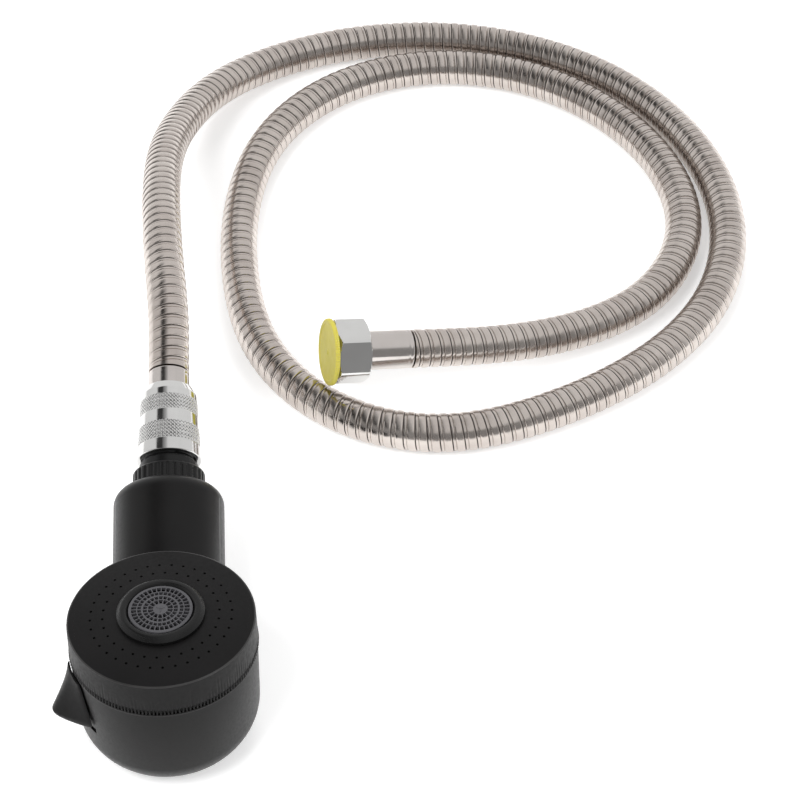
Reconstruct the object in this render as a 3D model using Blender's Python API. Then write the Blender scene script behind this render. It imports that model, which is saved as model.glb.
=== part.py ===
"""Handheld bath sprayer with its steel hose: one solid for each piece, in metres, +Z up.

The origin is the middle of the flat underside of the spray head, and +Y points
along the neck towards the hose. Four empties carry the pieces. head_axis runs up
through the round face and neck_axis along the barrel to the hose, both from the
same point. lever_axis lies on the lever's pivot, with +X out of the head.
tap_axis runs out of the hose's far end.
"""

import math

import bmesh
import bpy
import numpy as np
from mathutils import Matrix, Vector

MM = 0.001
GAP = 0.3 * MM  # air between two pieces that touch
SLIDE_GAP = 0.5 * MM  # air round a piece that turns or slides
THROUGH = 1.0 * MM  # how far a cutter runs past what it cuts
ROUND_SIDES = 28
INNER_SIDES = 20  # on the larger pieces that are hidden
SMALL_SIDES = 16
SEAL_SIDES = 16
SEAL_SECTION_SIDES = 5
STUD_SIDES = 12  # on screws, their holes and the hose inserts
SMALL_HOLE_SIDES = 6
HEXAGON = 6
SHARP_ANGLE = math.radians(35.0)  # edges bent more than this are shaded sharp
WELD = 0.001 * MM  # points closer than this are one

# Drum, measured up head_axis from the level where its wall starts to lean.
HEAD_RADIUS = 33.0 * MM
HEAD_TILT = math.radians(7.0)  # the face leans towards the neck
HEAD_BASE_ROUND = 14.0 * MM
HEAD_BODY_HEIGHT = 25.7 * MM
HEAD_FLOOR = 2.0 * MM
SPIGOT_HEIGHT = 9.6 * MM
SPIGOT_WALL = 2.2 * MM  # the cavity runs straight up inside it
BASE_STEPS = 4

# Front cap.
SKIRT_RADIUS = 33.9 * MM
SKIRT_TAPER = 0.5 * MM
SKIRT_WALL = 2.4 * MM
SKIRT_GAP = 0.4 * MM  # above the drum's shoulder
SKIRT_HEIGHT = 13.9 * MM
SKIRT_RIBS = 28
SKIRT_RIB_DEPTH = 0.5 * MM
SKIRT_RIB_HEIGHT = 8.5 * MM
SKIRT_GROOVE_SHARE = 0.6  # of the pitch
CAP_RECESS_GAP = 1.0 * MM  # between the cap and the neck behind it
FACE_THICKNESS = 2.0 * MM
FACE_CROWN = 1.8 * MM
FACE_BULGE = 0.59  # share of the crown reached half way in from the rim
FACE_FLAT_ROOM = 0.9 * MM  # of the flat round the bezel
FACE_EDGE = 0.4 * MM
BOSS_WALL = 1.9 * MM
BOSS_RISE = 2.4 * MM  # of its lower end over the flow divider
OUTER_HOLES = 36
OUTER_HOLE_CIRCLE = 25.0 * MM
INNER_HOLES = 30
INNER_HOLE_CIRCLE = 20.6 * MM
HOLE_START = 0.3  # of a pitch, from +X to the first hole of a circle
HOLE_RADIUS = 0.65 * MM
HOLE_SIDES = 3

# Middle outlet.
OUTLET_SLEEVE_RADIUS = 14.0 * MM
OUTLET_SLEEVE_WALL = 1.1 * MM
BEZEL_WIDTH = 1.6 * MM  # beyond the sleeve
BEZEL_HEIGHT = 3.0 * MM
BEZEL_OPENING = 11.7 * MM
BEZEL_ROUND = 1.4 * MM
BEZEL_STEPS = 3
GRILLE_THICKNESS = 1.3 * MM
GRILLE_RECESS = 0.5 * MM
GRILLE_RINGS = (2.9 * MM, 5.2 * MM, 7.7 * MM, 10.2 * MM)
GRILLE_BAR = 0.8 * MM
GRILLE_SPOKES = 10
CARTRIDGE_RADIUS = 11.6 * MM
CARTRIDGE_WALL = 1.0 * MM
CARTRIDGE_LENGTH = 7.0 * MM
CARTRIDGE_FLANGE = 1.5 * MM
CARTRIDGE_WEB = 0.9 * MM
CARTRIDGE_WEB_RISE = 2.2 * MM
CARTRIDGE_HOLES = 6
CARTRIDGE_HOLE_RADIUS = 1.5 * MM
CARTRIDGE_HOLE_CIRCLE = 7.0 * MM
SCREEN_THICKNESS = 0.6 * MM
SCREEN_HOLES = 8
SCREEN_HOLE_RADIUS = 0.9 * MM
SCREEN_HOLE_CIRCLE = 6.5 * MM
SOFT_RING_WALL = 2.6 * MM
GASKET_WALL = 1.5 * MM
GASKET_INSET = 0.15 * MM  # outside the boss's bore
O_RING = 1.05 * MM  # section radius under the cap
SMALL_O_RING = 0.4 * MM

# Water paths inside the drum.
BARREL_BORE = 7.5 * MM
BARREL_WALL = 2.0 * MM
BARREL_BOTTOM = -1.5 * MM
BARREL_WEB = 2.0 * MM
BARREL_RISE = 0.9 * MM  # over the flow divider
TROUGH_RADIUS = 22.0 * MM
TROUGH_WALL = 2.0 * MM
TROUGH_BOTTOM = 11.0 * MM
WINDOW_HEIGHT = 2.0 * MM
WINDOW_WIDTH = 8.0 * MM
WINDOW_SILL = 0.3 * MM
DIVIDER_DEPTH = 1.6 * MM  # of its top below the spigot's top
DIVIDER_THICKNESS = 3.0 * MM
DIVIDER_PORTS = 8
DIVIDER_PORT_RADIUS = 1.4 * MM
DIVIDER_PORT_CIRCLE = 18.2 * MM
EAR_THICKNESS = 3.0 * MM
EAR_WIDTH = 6.2 * MM
EAR_LEVEL = 12.0 * MM
EAR_REACH = 2.9 * MM  # beyond the screw
SCREW_CIRCLE = 25.0 * MM
SCREW_AZIMUTHS = {"left": math.radians(140.0), "right": math.radians(320.0)}
SCREW_RADIUS = 1.3 * MM
SCREW_LENGTH = 9.0 * MM
SCREW_HEAD_RADIUS = 2.5 * MM
SCREW_HEAD_HEIGHT = 1.8 * MM
SCREW_SLOT = 0.8 * MM
POST_WALL = 1.5 * MM

# Diverter.
STEM_RADIUS = 2.6 * MM
STEM_BOTTOM = -10.95 * MM
FORK_DISC = 0.8 * MM
FORK_DISC_RADIUS = 4.2 * MM
FORK_GROOVE = 4.2 * MM
SPOOL_BOTTOM = 12.6 * MM
SPOOL_LENGTH = 9.8 * MM
SPOOL_WALL = 2.2 * MM
SPOOL_TRAVEL = 3.35 * MM
SPIDER_WIDTH = 1.6 * MM
SPIDER_DEPTH = 1.2 * MM
SPIDER_INSET = 0.2 * MM
SEAL_GROOVE_WIDTH = 1.8 * MM
SEAL_GROOVE_DEPTH = 1.0 * MM
SEAL_GROOVE_FROM_TOP = 1.9 * MM  # to the middle of the groove
SEAT_OVERLAP = 0.4 * MM
SEAT_HEIGHT = 1.5 * MM
SEAT_RING_WALL = 0.6 * MM

# Thumb lever, in the frame of lever_axis.
LEVER_AZIMUTH = math.radians(200.0)
LEVER_PIVOT_RADIUS = 25.0 * MM
LEVER_PIVOT_LEVEL = 6.0 * MM
LEVER_TOP_ROOM = 0.2 * MM  # from the drum's top edge to the pad
LEVER_HEIGHT = 18.2 * MM
LEVER_TOP_HALF_WIDTH = 6.0 * MM
LEVER_HALF_WIDTH = 12.0 * MM  # at its flat lower end
LEVER_WIDENING = 0.8  # power of the width's growth, from the top
LEVER_REACH = 9.0 * MM
LEVER_EDGE = 0.8 * MM
LEVER_CORNER = 3.0 * MM  # round between the ridge and the lower end
LEVER_RIDGE = 0.2  # roundness of the ridge, as a share of the half width
LEVER_ROWS = 5
LEVER_CORNER_ROWS = 3
LEVER_COLUMNS = 6
STEM_BLOCK_LENGTH = 9.5 * MM
STEM_BLOCK_WIDTH = 9.0 * MM
STEM_BLOCK_BOTTOM = 1.6 * MM
STEM_BLOCK_TOP = 6.0 * MM
HUB_WALL = 1.8 * MM
HUB_WIDTH = 9.6 * MM
ARM_WIDTH = 4.0 * MM
ARM_DEPTH = 4.0 * MM
FORK_LENGTH = 28.5 * MM
FORK_THICKNESS = 2.0 * MM
FORK_WIDTH = 8.8 * MM
FORK_SLOT_END = 20.0 * MM
PIN_RADIUS = 1.5 * MM
LUG_WIDTH = 3.0 * MM
LUG_REACH = 3.5 * MM
LUG_TOP = 4.0 * MM
SLOT_TOP = 8.0 * MM
SLOT_BOTTOM = -1.4 * MM
SLOT_FOOT_TOP = 1.0 * MM

# Neck, measured along neck_axis.
NECK_RISE = math.radians(15.0)
NECK_RADIUS = 20.9 * MM
NECK_LENGTH = 80.6 * MM
NECK_ROUND = 6.5 * MM
NECK_ROUND_STEPS = 3
NECK_FLOOR = 0.2 * MM
CHAMBER_RADIUS = 17.0 * MM
CHAMBER_START = 47.0 * MM
CHAMBER_END_WALL = 3.6 * MM
INLET_LEVEL = 5.6 * MM  # on head_axis
INLET_RADIUS = 4.6 * MM
INLET_WALL = 1.2 * MM
INLET_LENGTH = 36.0 * MM
INLET_SHOULDER = 0.7 * MM  # from the barrel's bore to the tube's end
SPIGOT_ENTRY = 11.5 * MM
SPIGOT_ENTRY_LENGTH = 14.0 * MM
SPIGOT_ENTRY_GAP = 0.4 * MM
COLLAR_RADIUS = 13.7 * MM
COLLAR_LENGTH = 7.2 * MM
COLLAR_ROUND = 2.0 * MM
COLLAR_ROUND_STEPS = 2
COLLAR_RIBS = 20
COLLAR_RIB_DEPTH = 0.5 * MM
COLLAR_GROOVE_SHARE = 0.5  # of the pitch
STEP_RADIUS = 11.2 * MM
STEP_LENGTH = 3.4 * MM
STUB_RADIUS = 10.2 * MM
STUB_LENGTH = 18.0 * MM
CONNECTOR_BORE = 6.5 * MM
FILTER_RADIUS = 10.0 * MM
FILTER_ROOM = 4.6 * MM  # from the chamber's start to the basket
FILTER_WALL = 0.9 * MM
FILTER_SLOTS = 8
FILTER_SLOT_WIDTH = 2.2 * MM
FILTER_SLOT_MARGIN = 2.5 * MM  # from each end of the basket

# Hose fittings.
THREAD_RADIUS = 10.5 * MM
WASHER_THICKNESS = 2.0 * MM
WASHER_BORE = 5.5 * MM
BARB_FLANGE_RADIUS = 9.8 * MM
BARB_FLANGE = 2.0 * MM
BARB_RADIUS = 2.8 * MM
BARB_BORE = 1.9 * MM
BARB_RIDGE = 0.5 * MM
BARB_RIDGES = 2
BARB_PITCH = 4.0 * MM
BARB_IN_HOSE = 10.0 * MM
NUT_STUB_SHOWN = 5.2 * MM  # of the stub, before the nut
HANDSET_NUT_LENGTH = 30.6 * MM
HANDSET_NUT_MOUTH = 12.35 * MM
HANDSET_NUT_WAIST = 10.9 * MM
HANDSET_NUT_END = 9.3 * MM
HANDSET_NUT_CHAMFER = 3.4 * MM
HANDSET_FERRULE_SHOWN = 7.5 * MM
KNURL_RIBS = 12
KNURL_DEPTH = 0.3 * MM
KNURL_GROOVE_SHARE = 0.4  # of the pitch
KNURL_BANDS = ((5.0 * MM, 12.8 * MM), (17.6 * MM, 24.5 * MM))  # from the mouth
TAP_FERRULE_SHOWN = 19.6 * MM
TAP_NUT_LENGTH = 13.3 * MM
TAP_NUT_WEB = 3.0 * MM
TAP_NUT_FLATS = 24.0 * MM
TAP_NUT_CHAMFER = 0.9 * MM
CHAMFER_SIDES = 24
TAP_NUT_TURN = math.radians(1.0)
CAP_FLANGE_RADIUS = 13.6 * MM
CAP_FLANGE = 1.9 * MM
CAP_FLANGE_EDGE = 0.5 * MM
CAP_SEAT_GAP = 0.4 * MM
CAP_PLUG_RADIUS = 10.0 * MM
CAP_PLUG_WALL = 1.4 * MM
CAP_PLUG_LENGTH = 5.0 * MM

# Hose.
HOSE_RADIUS = 8.0 * MM
HOSE_RIBS = 132
HOSE_RIB_DEPTH = 0.75 * MM
HOSE_BORE = 6.0 * MM
HOSE_BORE_POINTS = 62
HOSE_SIDES = 8
LINER_RADIUS = 5.2 * MM
LINER_BORE = 4.25 * MM
LINER_SIDES = 6
ROUTE_SAMPLES = 60  # for each stretch between two route points
BEND_STEPS = 6  # steps of a quarter diameter over which a bend is measured
TAP_POINT = Vector((96.0, 160.3, 22.0)) * MM  # middle of the hose's far end
TAP_YAW = math.radians(191.0)
TAP_RISE = math.radians(11.0)
HOSE_ROUTE = [
    Vector(point) * MM
    for point in (
        (-2.0, 176.0, 56.0),
        (-4.6, 218.0, 51.5),
        (-4.6, 262.0, 39.5),
        (2.4, 304.0, 24.5),
        (21.5, 342.0, 12.8),
        (56.5, 366.0, 8.4),
        (100.0, 374.5, 8.1),
        (144.5, 369.3, 8.1),
        (185.0, 350.0, 8.1),
        (216.6, 318.0, 8.1),
        (235.4, 276.0, 8.1),
        (237.6, 231.5, 8.1),
        (222.5, 190.5, 8.1),
        (191.9, 158.3, 8.1),
        (151.3, 136.0, 8.1),
        (105.6, 126.4, 8.1),
        (65.4, 139.7, 8.1),
        (36.4, 174.2, 8.1),
        (26.0, 219.2, 8.1),
        (27.4, 265.8, 8.1),
        (41.0, 308.2, 8.1),
        (70.6, 339.3, 8.1),
        (113.1, 352.9, 8.1),
        (157.0, 344.7, 8.1),
        (193.0, 317.6, 8.1),
        (215.6, 278.5, 8.1),
        (218.6, 236.0, 8.2),
        (197.5, 198.0, 8.6),
        (157.5, 175.1, 11.6),
    )
]

# Levels on head_axis that follow from the sizes.
SPIGOT_RADIUS = SKIRT_RADIUS - SKIRT_WALL - SLIDE_GAP
CAVITY_RADIUS = SPIGOT_RADIUS - SPIGOT_WALL
HEAD_WALL = HEAD_RADIUS - CAVITY_RADIUS
SPIGOT_TOP = HEAD_BODY_HEIGHT + SPIGOT_HEIGHT
LEVER_TOP = HEAD_BODY_HEIGHT - LEVER_PIVOT_LEVEL - LEVER_TOP_ROOM
SKIRT_BOTTOM = HEAD_BODY_HEIGHT + SKIRT_GAP
RIM_LEVEL = SKIRT_BOTTOM + SKIRT_HEIGHT
RIM_RADIUS = SKIRT_RADIUS - SKIRT_TAPER
FACE_LEVEL = RIM_LEVEL + FACE_CROWN
FACE_UNDERSIDE = RIM_LEVEL - FACE_THICKNESS
BARREL_RADIUS = BARREL_BORE + BARREL_WALL
DIVIDER_TOP = SPIGOT_TOP - DIVIDER_DEPTH
DIVIDER_BOTTOM = DIVIDER_TOP - DIVIDER_THICKNESS
BARREL_TOP = DIVIDER_TOP + BARREL_RISE
TROUGH_FLOOR = TROUGH_BOTTOM + TROUGH_WALL
TROUGH_TOP = DIVIDER_BOTTOM - GAP
WINDOW_BOTTOM = TROUGH_FLOOR + WINDOW_SILL
BOSS_BORE = OUTLET_SLEEVE_RADIUS + GAP
BOSS_RADIUS = BOSS_BORE + BOSS_WALL
BOSS_BOTTOM = DIVIDER_TOP + BOSS_RISE
OUTLET_SLEEVE_BORE = OUTLET_SLEEVE_RADIUS - OUTLET_SLEEVE_WALL
OUTLET_SLEEVE_BOTTOM = BARREL_TOP + GAP
BEZEL_BOTTOM = FACE_LEVEL + GAP
BEZEL_TOP = FACE_LEVEL + BEZEL_HEIGHT
BEZEL_RADIUS = OUTLET_SLEEVE_RADIUS + BEZEL_WIDTH
FACE_FLAT_RADIUS = BEZEL_RADIUS + FACE_FLAT_ROOM
GRILLE_TOP = BEZEL_TOP - GRILLE_RECESS
GRILLE_BOTTOM = GRILLE_TOP - GRILLE_THICKNESS
GRILLE_RADIUS = BEZEL_OPENING - GAP
CARTRIDGE_TOP = GRILLE_BOTTOM - GAP
CARTRIDGE_BOTTOM = CARTRIDGE_TOP - CARTRIDGE_LENGTH
CARTRIDGE_BORE = CARTRIDGE_RADIUS - CARTRIDGE_WALL
CARTRIDGE_FLANGE_RADIUS = OUTLET_SLEEVE_BORE - GAP
SPOOL_RADIUS = BARREL_BORE - SLIDE_GAP
SPOOL_BORE = SPOOL_RADIUS - SPOOL_WALL
SPOOL_TOP = SPOOL_BOTTOM + SPOOL_LENGTH
SEAL_LEVEL = SPOOL_TOP - SEAL_GROOVE_FROM_TOP
SEAT_BOTTOM = SPOOL_TOP + SPOOL_TRAVEL + GAP
FORK_GROOVE_BOTTOM = STEM_BOTTOM + FORK_DISC
FORK_GROOVE_TOP = FORK_GROOVE_BOTTOM + FORK_GROOVE
FORK_LEVEL = FORK_GROOVE_BOTTOM + FORK_GROOVE / 2 - LEVER_PIVOT_LEVEL
SCREW_HOLE = SCREW_RADIUS + GAP
POST_TOP = EAR_LEVEL - GAP
SCREW_SEAT = EAR_LEVEL + EAR_THICKNESS + GAP
HUB_HOLE = PIN_RADIUS + GAP
LUG_START = HUB_WIDTH / 2 + SLIDE_GAP
PIN_LENGTH = 2 * (LUG_START + LUG_WIDTH)
INLET_START = BARREL_BORE + INLET_SHOULDER
INLET_HOLE = INLET_RADIUS + GAP

# Distances along neck_axis that follow from the sizes.
COLLAR_START = NECK_LENGTH + GAP
COLLAR_END = COLLAR_START + COLLAR_LENGTH
STUB_END = COLLAR_END + STUB_LENGTH
ENTRY_START = COLLAR_START - SPIGOT_ENTRY_LENGTH
ENTRY_HOLE = SPIGOT_ENTRY + SPIGOT_ENTRY_GAP
CHAMBER_END = NECK_LENGTH - CHAMBER_END_WALL
FILTER_START = CHAMBER_START + FILTER_ROOM
FILTER_END = ENTRY_START - GAP
HANDSET_WASHER_START = STUB_END + GAP
HANDSET_BARB_START = HANDSET_WASHER_START + WASHER_THICKNESS + GAP
HANDSET_NUT_START = COLLAR_END + NUT_STUB_SHOWN
HANDSET_NUT_STOP = HANDSET_NUT_START + HANDSET_NUT_LENGTH
HANDSET_NUT_FLOOR = HANDSET_BARB_START + BARB_FLANGE + SLIDE_GAP
HANDSET_FERRULE_START = HANDSET_BARB_START + BARB_FLANGE + GAP
HANDSET_FERRULE_END = HANDSET_NUT_STOP + HANDSET_FERRULE_SHOWN
HOSE_START = HANDSET_FERRULE_END + GAP
FERRULE_RADIUS = HOSE_RADIUS
FERRULE_HOLE = FERRULE_RADIUS + SLIDE_GAP

# Distances along tap_axis from the hose's end.
TAP_NUT_START = GAP + TAP_FERRULE_SHOWN
TAP_NUT_STOP = TAP_NUT_START + TAP_NUT_LENGTH
TAP_NUT_FLOOR = TAP_NUT_START + TAP_NUT_WEB
TAP_BARB_FLANGE_START = TAP_NUT_FLOOR + SLIDE_GAP
TAP_FERRULE_END = TAP_BARB_FLANGE_START - GAP
TAP_WASHER_START = TAP_BARB_FLANGE_START + BARB_FLANGE + GAP
CAP_FLANGE_START = TAP_NUT_STOP + CAP_SEAT_GAP


def clear_scene():
    for obj in list(bpy.data.objects):
        bpy.data.objects.remove(obj, do_unlink=True)


def material(name, colour, roughness, metallic):
    made = bpy.data.materials.new(name)
    made.use_nodes = True
    shader = made.node_tree.nodes["Principled BSDF"]
    shader.inputs["Base Color"].default_value = (*colour, 1.0)
    shader.inputs["Roughness"].default_value = roughness
    shader.inputs["Metallic"].default_value = metallic
    made.diffuse_color = (*colour, 1.0)
    return made


def frame(name, place):
    """An empty that carries pieces: place is its matrix in the world."""
    empty = bpy.data.objects.new(name, None)
    empty.empty_display_size = HEAD_BODY_HEIGHT
    empty.matrix_world = place
    bpy.context.scene.collection.objects.link(empty)
    return empty


def placed(name, data, parent=None, finish=None):
    obj = bpy.data.objects.new(name, data)
    bpy.context.scene.collection.objects.link(obj)
    obj.parent = parent
    if finish is not None:
        data.materials.append(finish)
    return obj


def solid(name, bm, parent=None, finish=None):
    """The bmesh as an object, its faces turned outwards."""
    bmesh.ops.recalc_face_normals(bm, faces=bm.faces)
    mesh = bpy.data.meshes.new(name)
    bm.to_mesh(mesh)
    bm.free()
    mesh.shade_smooth()
    mesh.set_sharp_from_angle(angle=SHARP_ANGLE)
    return placed(name, mesh, parent, finish)


def turned(name, outline, parent=None, finish=None, sides=ROUND_SIDES):
    """A closed (radius, height) outline spun round Z."""
    bm = bmesh.new()
    points = [bm.verts.new((radius, 0.0, height)) for radius, height in outline]
    edges = [bm.edges.new(pair) for pair in zip(points, points[1:] + points[:1])]
    bmesh.ops.spin(
        bm,
        geom=points + edges,
        cent=(0.0, 0.0, 0.0),
        axis=(0.0, 0.0, 1.0),
        angle=math.tau,
        steps=sides,
    )
    bmesh.ops.remove_doubles(bm, verts=bm.verts, dist=WELD)
    on_axis = [edge for edge in bm.edges if not edge.link_faces]
    bmesh.ops.delete(bm, geom=on_axis, context="EDGES")
    centres = [vert for vert in bm.verts if vert.co.xy.length < WELD]
    bmesh.ops.dissolve_verts(bm, verts=centres)
    return solid(name, bm, parent, finish)


def block(name, low, high, parent=None, finish=None):
    """A box between two corners."""
    bm = bmesh.new()
    bmesh.ops.create_cube(bm, size=1.0)
    low, high = Vector(low), Vector(high)
    bmesh.ops.scale(bm, verts=bm.verts, vec=high - low)
    bmesh.ops.translate(bm, verts=bm.verts, vec=(low + high) / 2)
    return solid(name, bm, parent, finish)


def add_rod(bm, radius, start, end, sides=SMALL_SIDES):
    """A straight cylinder between two points, added to the bmesh."""
    start, end = Vector(start), Vector(end)
    along = end - start
    turn = along.to_track_quat("Z", "X").to_matrix().to_4x4()
    bmesh.ops.create_cone(
        bm,
        cap_ends=True,
        segments=sides,
        radius1=radius,
        radius2=radius,
        depth=along.length,
        matrix=Matrix.Translation((start + end) / 2) @ turn,
    )


def rods(name, radius, ends, parent=None, finish=None, sides=SMALL_SIDES):
    """One or more cylinders of one radius, each between a pair of points."""
    bm = bmesh.new()
    for start, end in ends:
        add_rod(bm, radius, start, end, sides)
    return solid(name, bm, parent, finish)


def prism(bm, corners, low, high):
    """A vertical prism on (x, y) corners, added to the bmesh."""
    face = bm.faces.new([bm.verts.new((x, y, low)) for x, y in corners])
    raised = bmesh.ops.extrude_face_region(bm, geom=[face])["geom"]
    tops = [item for item in raised if isinstance(item, bmesh.types.BMVert)]
    bmesh.ops.translate(bm, verts=tops, vec=(0.0, 0.0, high - low))


def ring_seal(name, radius, section, level, parent, finish):
    """An O-ring, spun from a small many-sided section."""
    corners = [index * math.tau / SEAL_SECTION_SIDES for index in range(SEAL_SECTION_SIDES)]
    outline = [(radius + section * math.cos(a), level + section * math.sin(a)) for a in corners]
    return turned(name, outline, parent, finish, SEAL_SIDES)


def polar(radius, angle, height=0.0):
    return Vector((radius * math.cos(angle), radius * math.sin(angle), height))


def slab(inner, outer, low, high):
    """The outline of a flat ring, or of a disc where the inner radius is 0."""
    return [(inner, low), (outer, low), (outer, high), (inner, high)]


def ring_of_ends(count, circle, low, high, start=0.0):
    """The two ends of each upright rod in a ring of them. Start is a share of the pitch."""
    turns = [(index + start) * math.tau / count for index in range(count)]
    return [(polar(circle, a, low), polar(circle, a, high)) for a in turns]


def helper(obj):
    obj.hide_render = True
    obj.display_type = "WIRE"
    return obj


def combine(target, operation, tool):
    helper(tool)
    step = target.modifiers.new(tool.name, "BOOLEAN")
    step.operation = operation
    step.object = tool


def cut(target, *tools):
    for tool in tools:
        combine(target, "DIFFERENCE", tool)
    return target


def fuse(target, *tools):
    for tool in tools:
        combine(target, "UNION", tool)
    return target


def arc(centre, radius, first, last, steps):
    """(radius, height) points on an arc, with both ends."""
    angles = np.radians(np.linspace(first, last, steps + 1))
    return [(centre[0] + radius * math.cos(a), centre[1] + radius * math.sin(a)) for a in angles]


clear_scene()

BLACK_PLASTIC = material("black_plastic", (0.016, 0.016, 0.018), 0.45, 0.0)
BLACK_CAP = material("black_cap", (0.013, 0.013, 0.014), 0.5, 0.0)
BLACK_LEVER = material("black_lever", (0.02, 0.02, 0.021), 0.4, 0.0)
BLACK_COLLAR = material("black_collar", (0.012, 0.012, 0.013), 0.3, 0.0)
GREY_PLASTIC = material("grey_plastic", (0.28, 0.29, 0.3), 0.4, 0.0)
WHITE_PLASTIC = material("white_plastic", (0.75, 0.75, 0.73), 0.4, 0.0)
YELLOW_PLASTIC = material("yellow_plastic", (0.8, 0.72, 0.12), 0.35, 0.0)
RUBBER = material("rubber", (0.02, 0.02, 0.02), 0.7, 0.0)
CHROME = material("chrome", (0.78, 0.78, 0.78), 0.08, 1.0)
STEEL = material("steel", (0.62, 0.6, 0.58), 0.25, 1.0)
BRASS = material("brass", (0.72, 0.55, 0.25), 0.3, 1.0)

HEAD_PLACE = Matrix.Translation((0.0, 0.0, HEAD_BASE_ROUND)) @ Matrix.Rotation(-HEAD_TILT, 4, "X")
HEAD_AXIS = frame("head_axis", HEAD_PLACE)
NECK_PLACE = Matrix.Translation((0.0, 0.0, HEAD_BASE_ROUND)) @ Matrix.Rotation(
    NECK_RISE - math.pi / 2, 4, "X"
)
NECK_AXIS = frame("neck_axis", NECK_PLACE)
LEVER_PLACE = (
    HEAD_PLACE
    @ Matrix.Rotation(LEVER_AZIMUTH, 4, "Z")
    @ Matrix.Translation((LEVER_PIVOT_RADIUS, 0.0, LEVER_PIVOT_LEVEL))
)
LEVER_AXIS = frame("lever_axis", LEVER_PLACE)
TAP_DIRECTION = Vector(
    (
        math.cos(TAP_YAW) * math.cos(TAP_RISE),
        math.sin(TAP_YAW) * math.cos(TAP_RISE),
        math.sin(TAP_RISE),
    )
)
TAP_TURN = TAP_DIRECTION.to_track_quat("Z", "Y").to_matrix().to_4x4()
TAP_PLACE = Matrix.Translation(TAP_POINT) @ TAP_TURN
TAP_AXIS = frame("tap_axis", TAP_PLACE)


def lofted(name, rings, parent=None, finish=None):
    """A closed skin over rings of equal point counts, with flat ends."""
    bm = bmesh.new()
    loops = [[bm.verts.new(point) for point in ring] for ring in rings]
    for lower, upper in zip(loops, loops[1:]):
        for index in range(len(lower)):
            bm.faces.new((lower[index - 1], lower[index], upper[index], upper[index - 1]))
    bm.faces.new(loops[0])
    bm.faces.new(loops[-1])
    return solid(name, bm, parent, finish)


def level_ring(radius, height):
    """A ring that lies level, in the world."""
    angles = [index * math.tau / ROUND_SIDES for index in range(ROUND_SIDES)]
    return [polar(radius, angle, height) for angle in angles]


def leaning_ring(radius, level):
    """A ring square to head_axis, in the world."""
    return [HEAD_PLACE @ point for point in level_ring(radius, level)]


def bowl(radius, corner, floor):
    """Rings of a round-edged bowl, from its flat floor up to where its wall starts."""
    angles = [index * math.pi / 2 / BASE_STEPS for index in range(BASE_STEPS + 1)]
    flat = radius - corner
    return [
        level_ring(flat + corner * math.sin(a), floor + corner * (1 - math.cos(a))) for a in angles
    ]


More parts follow.
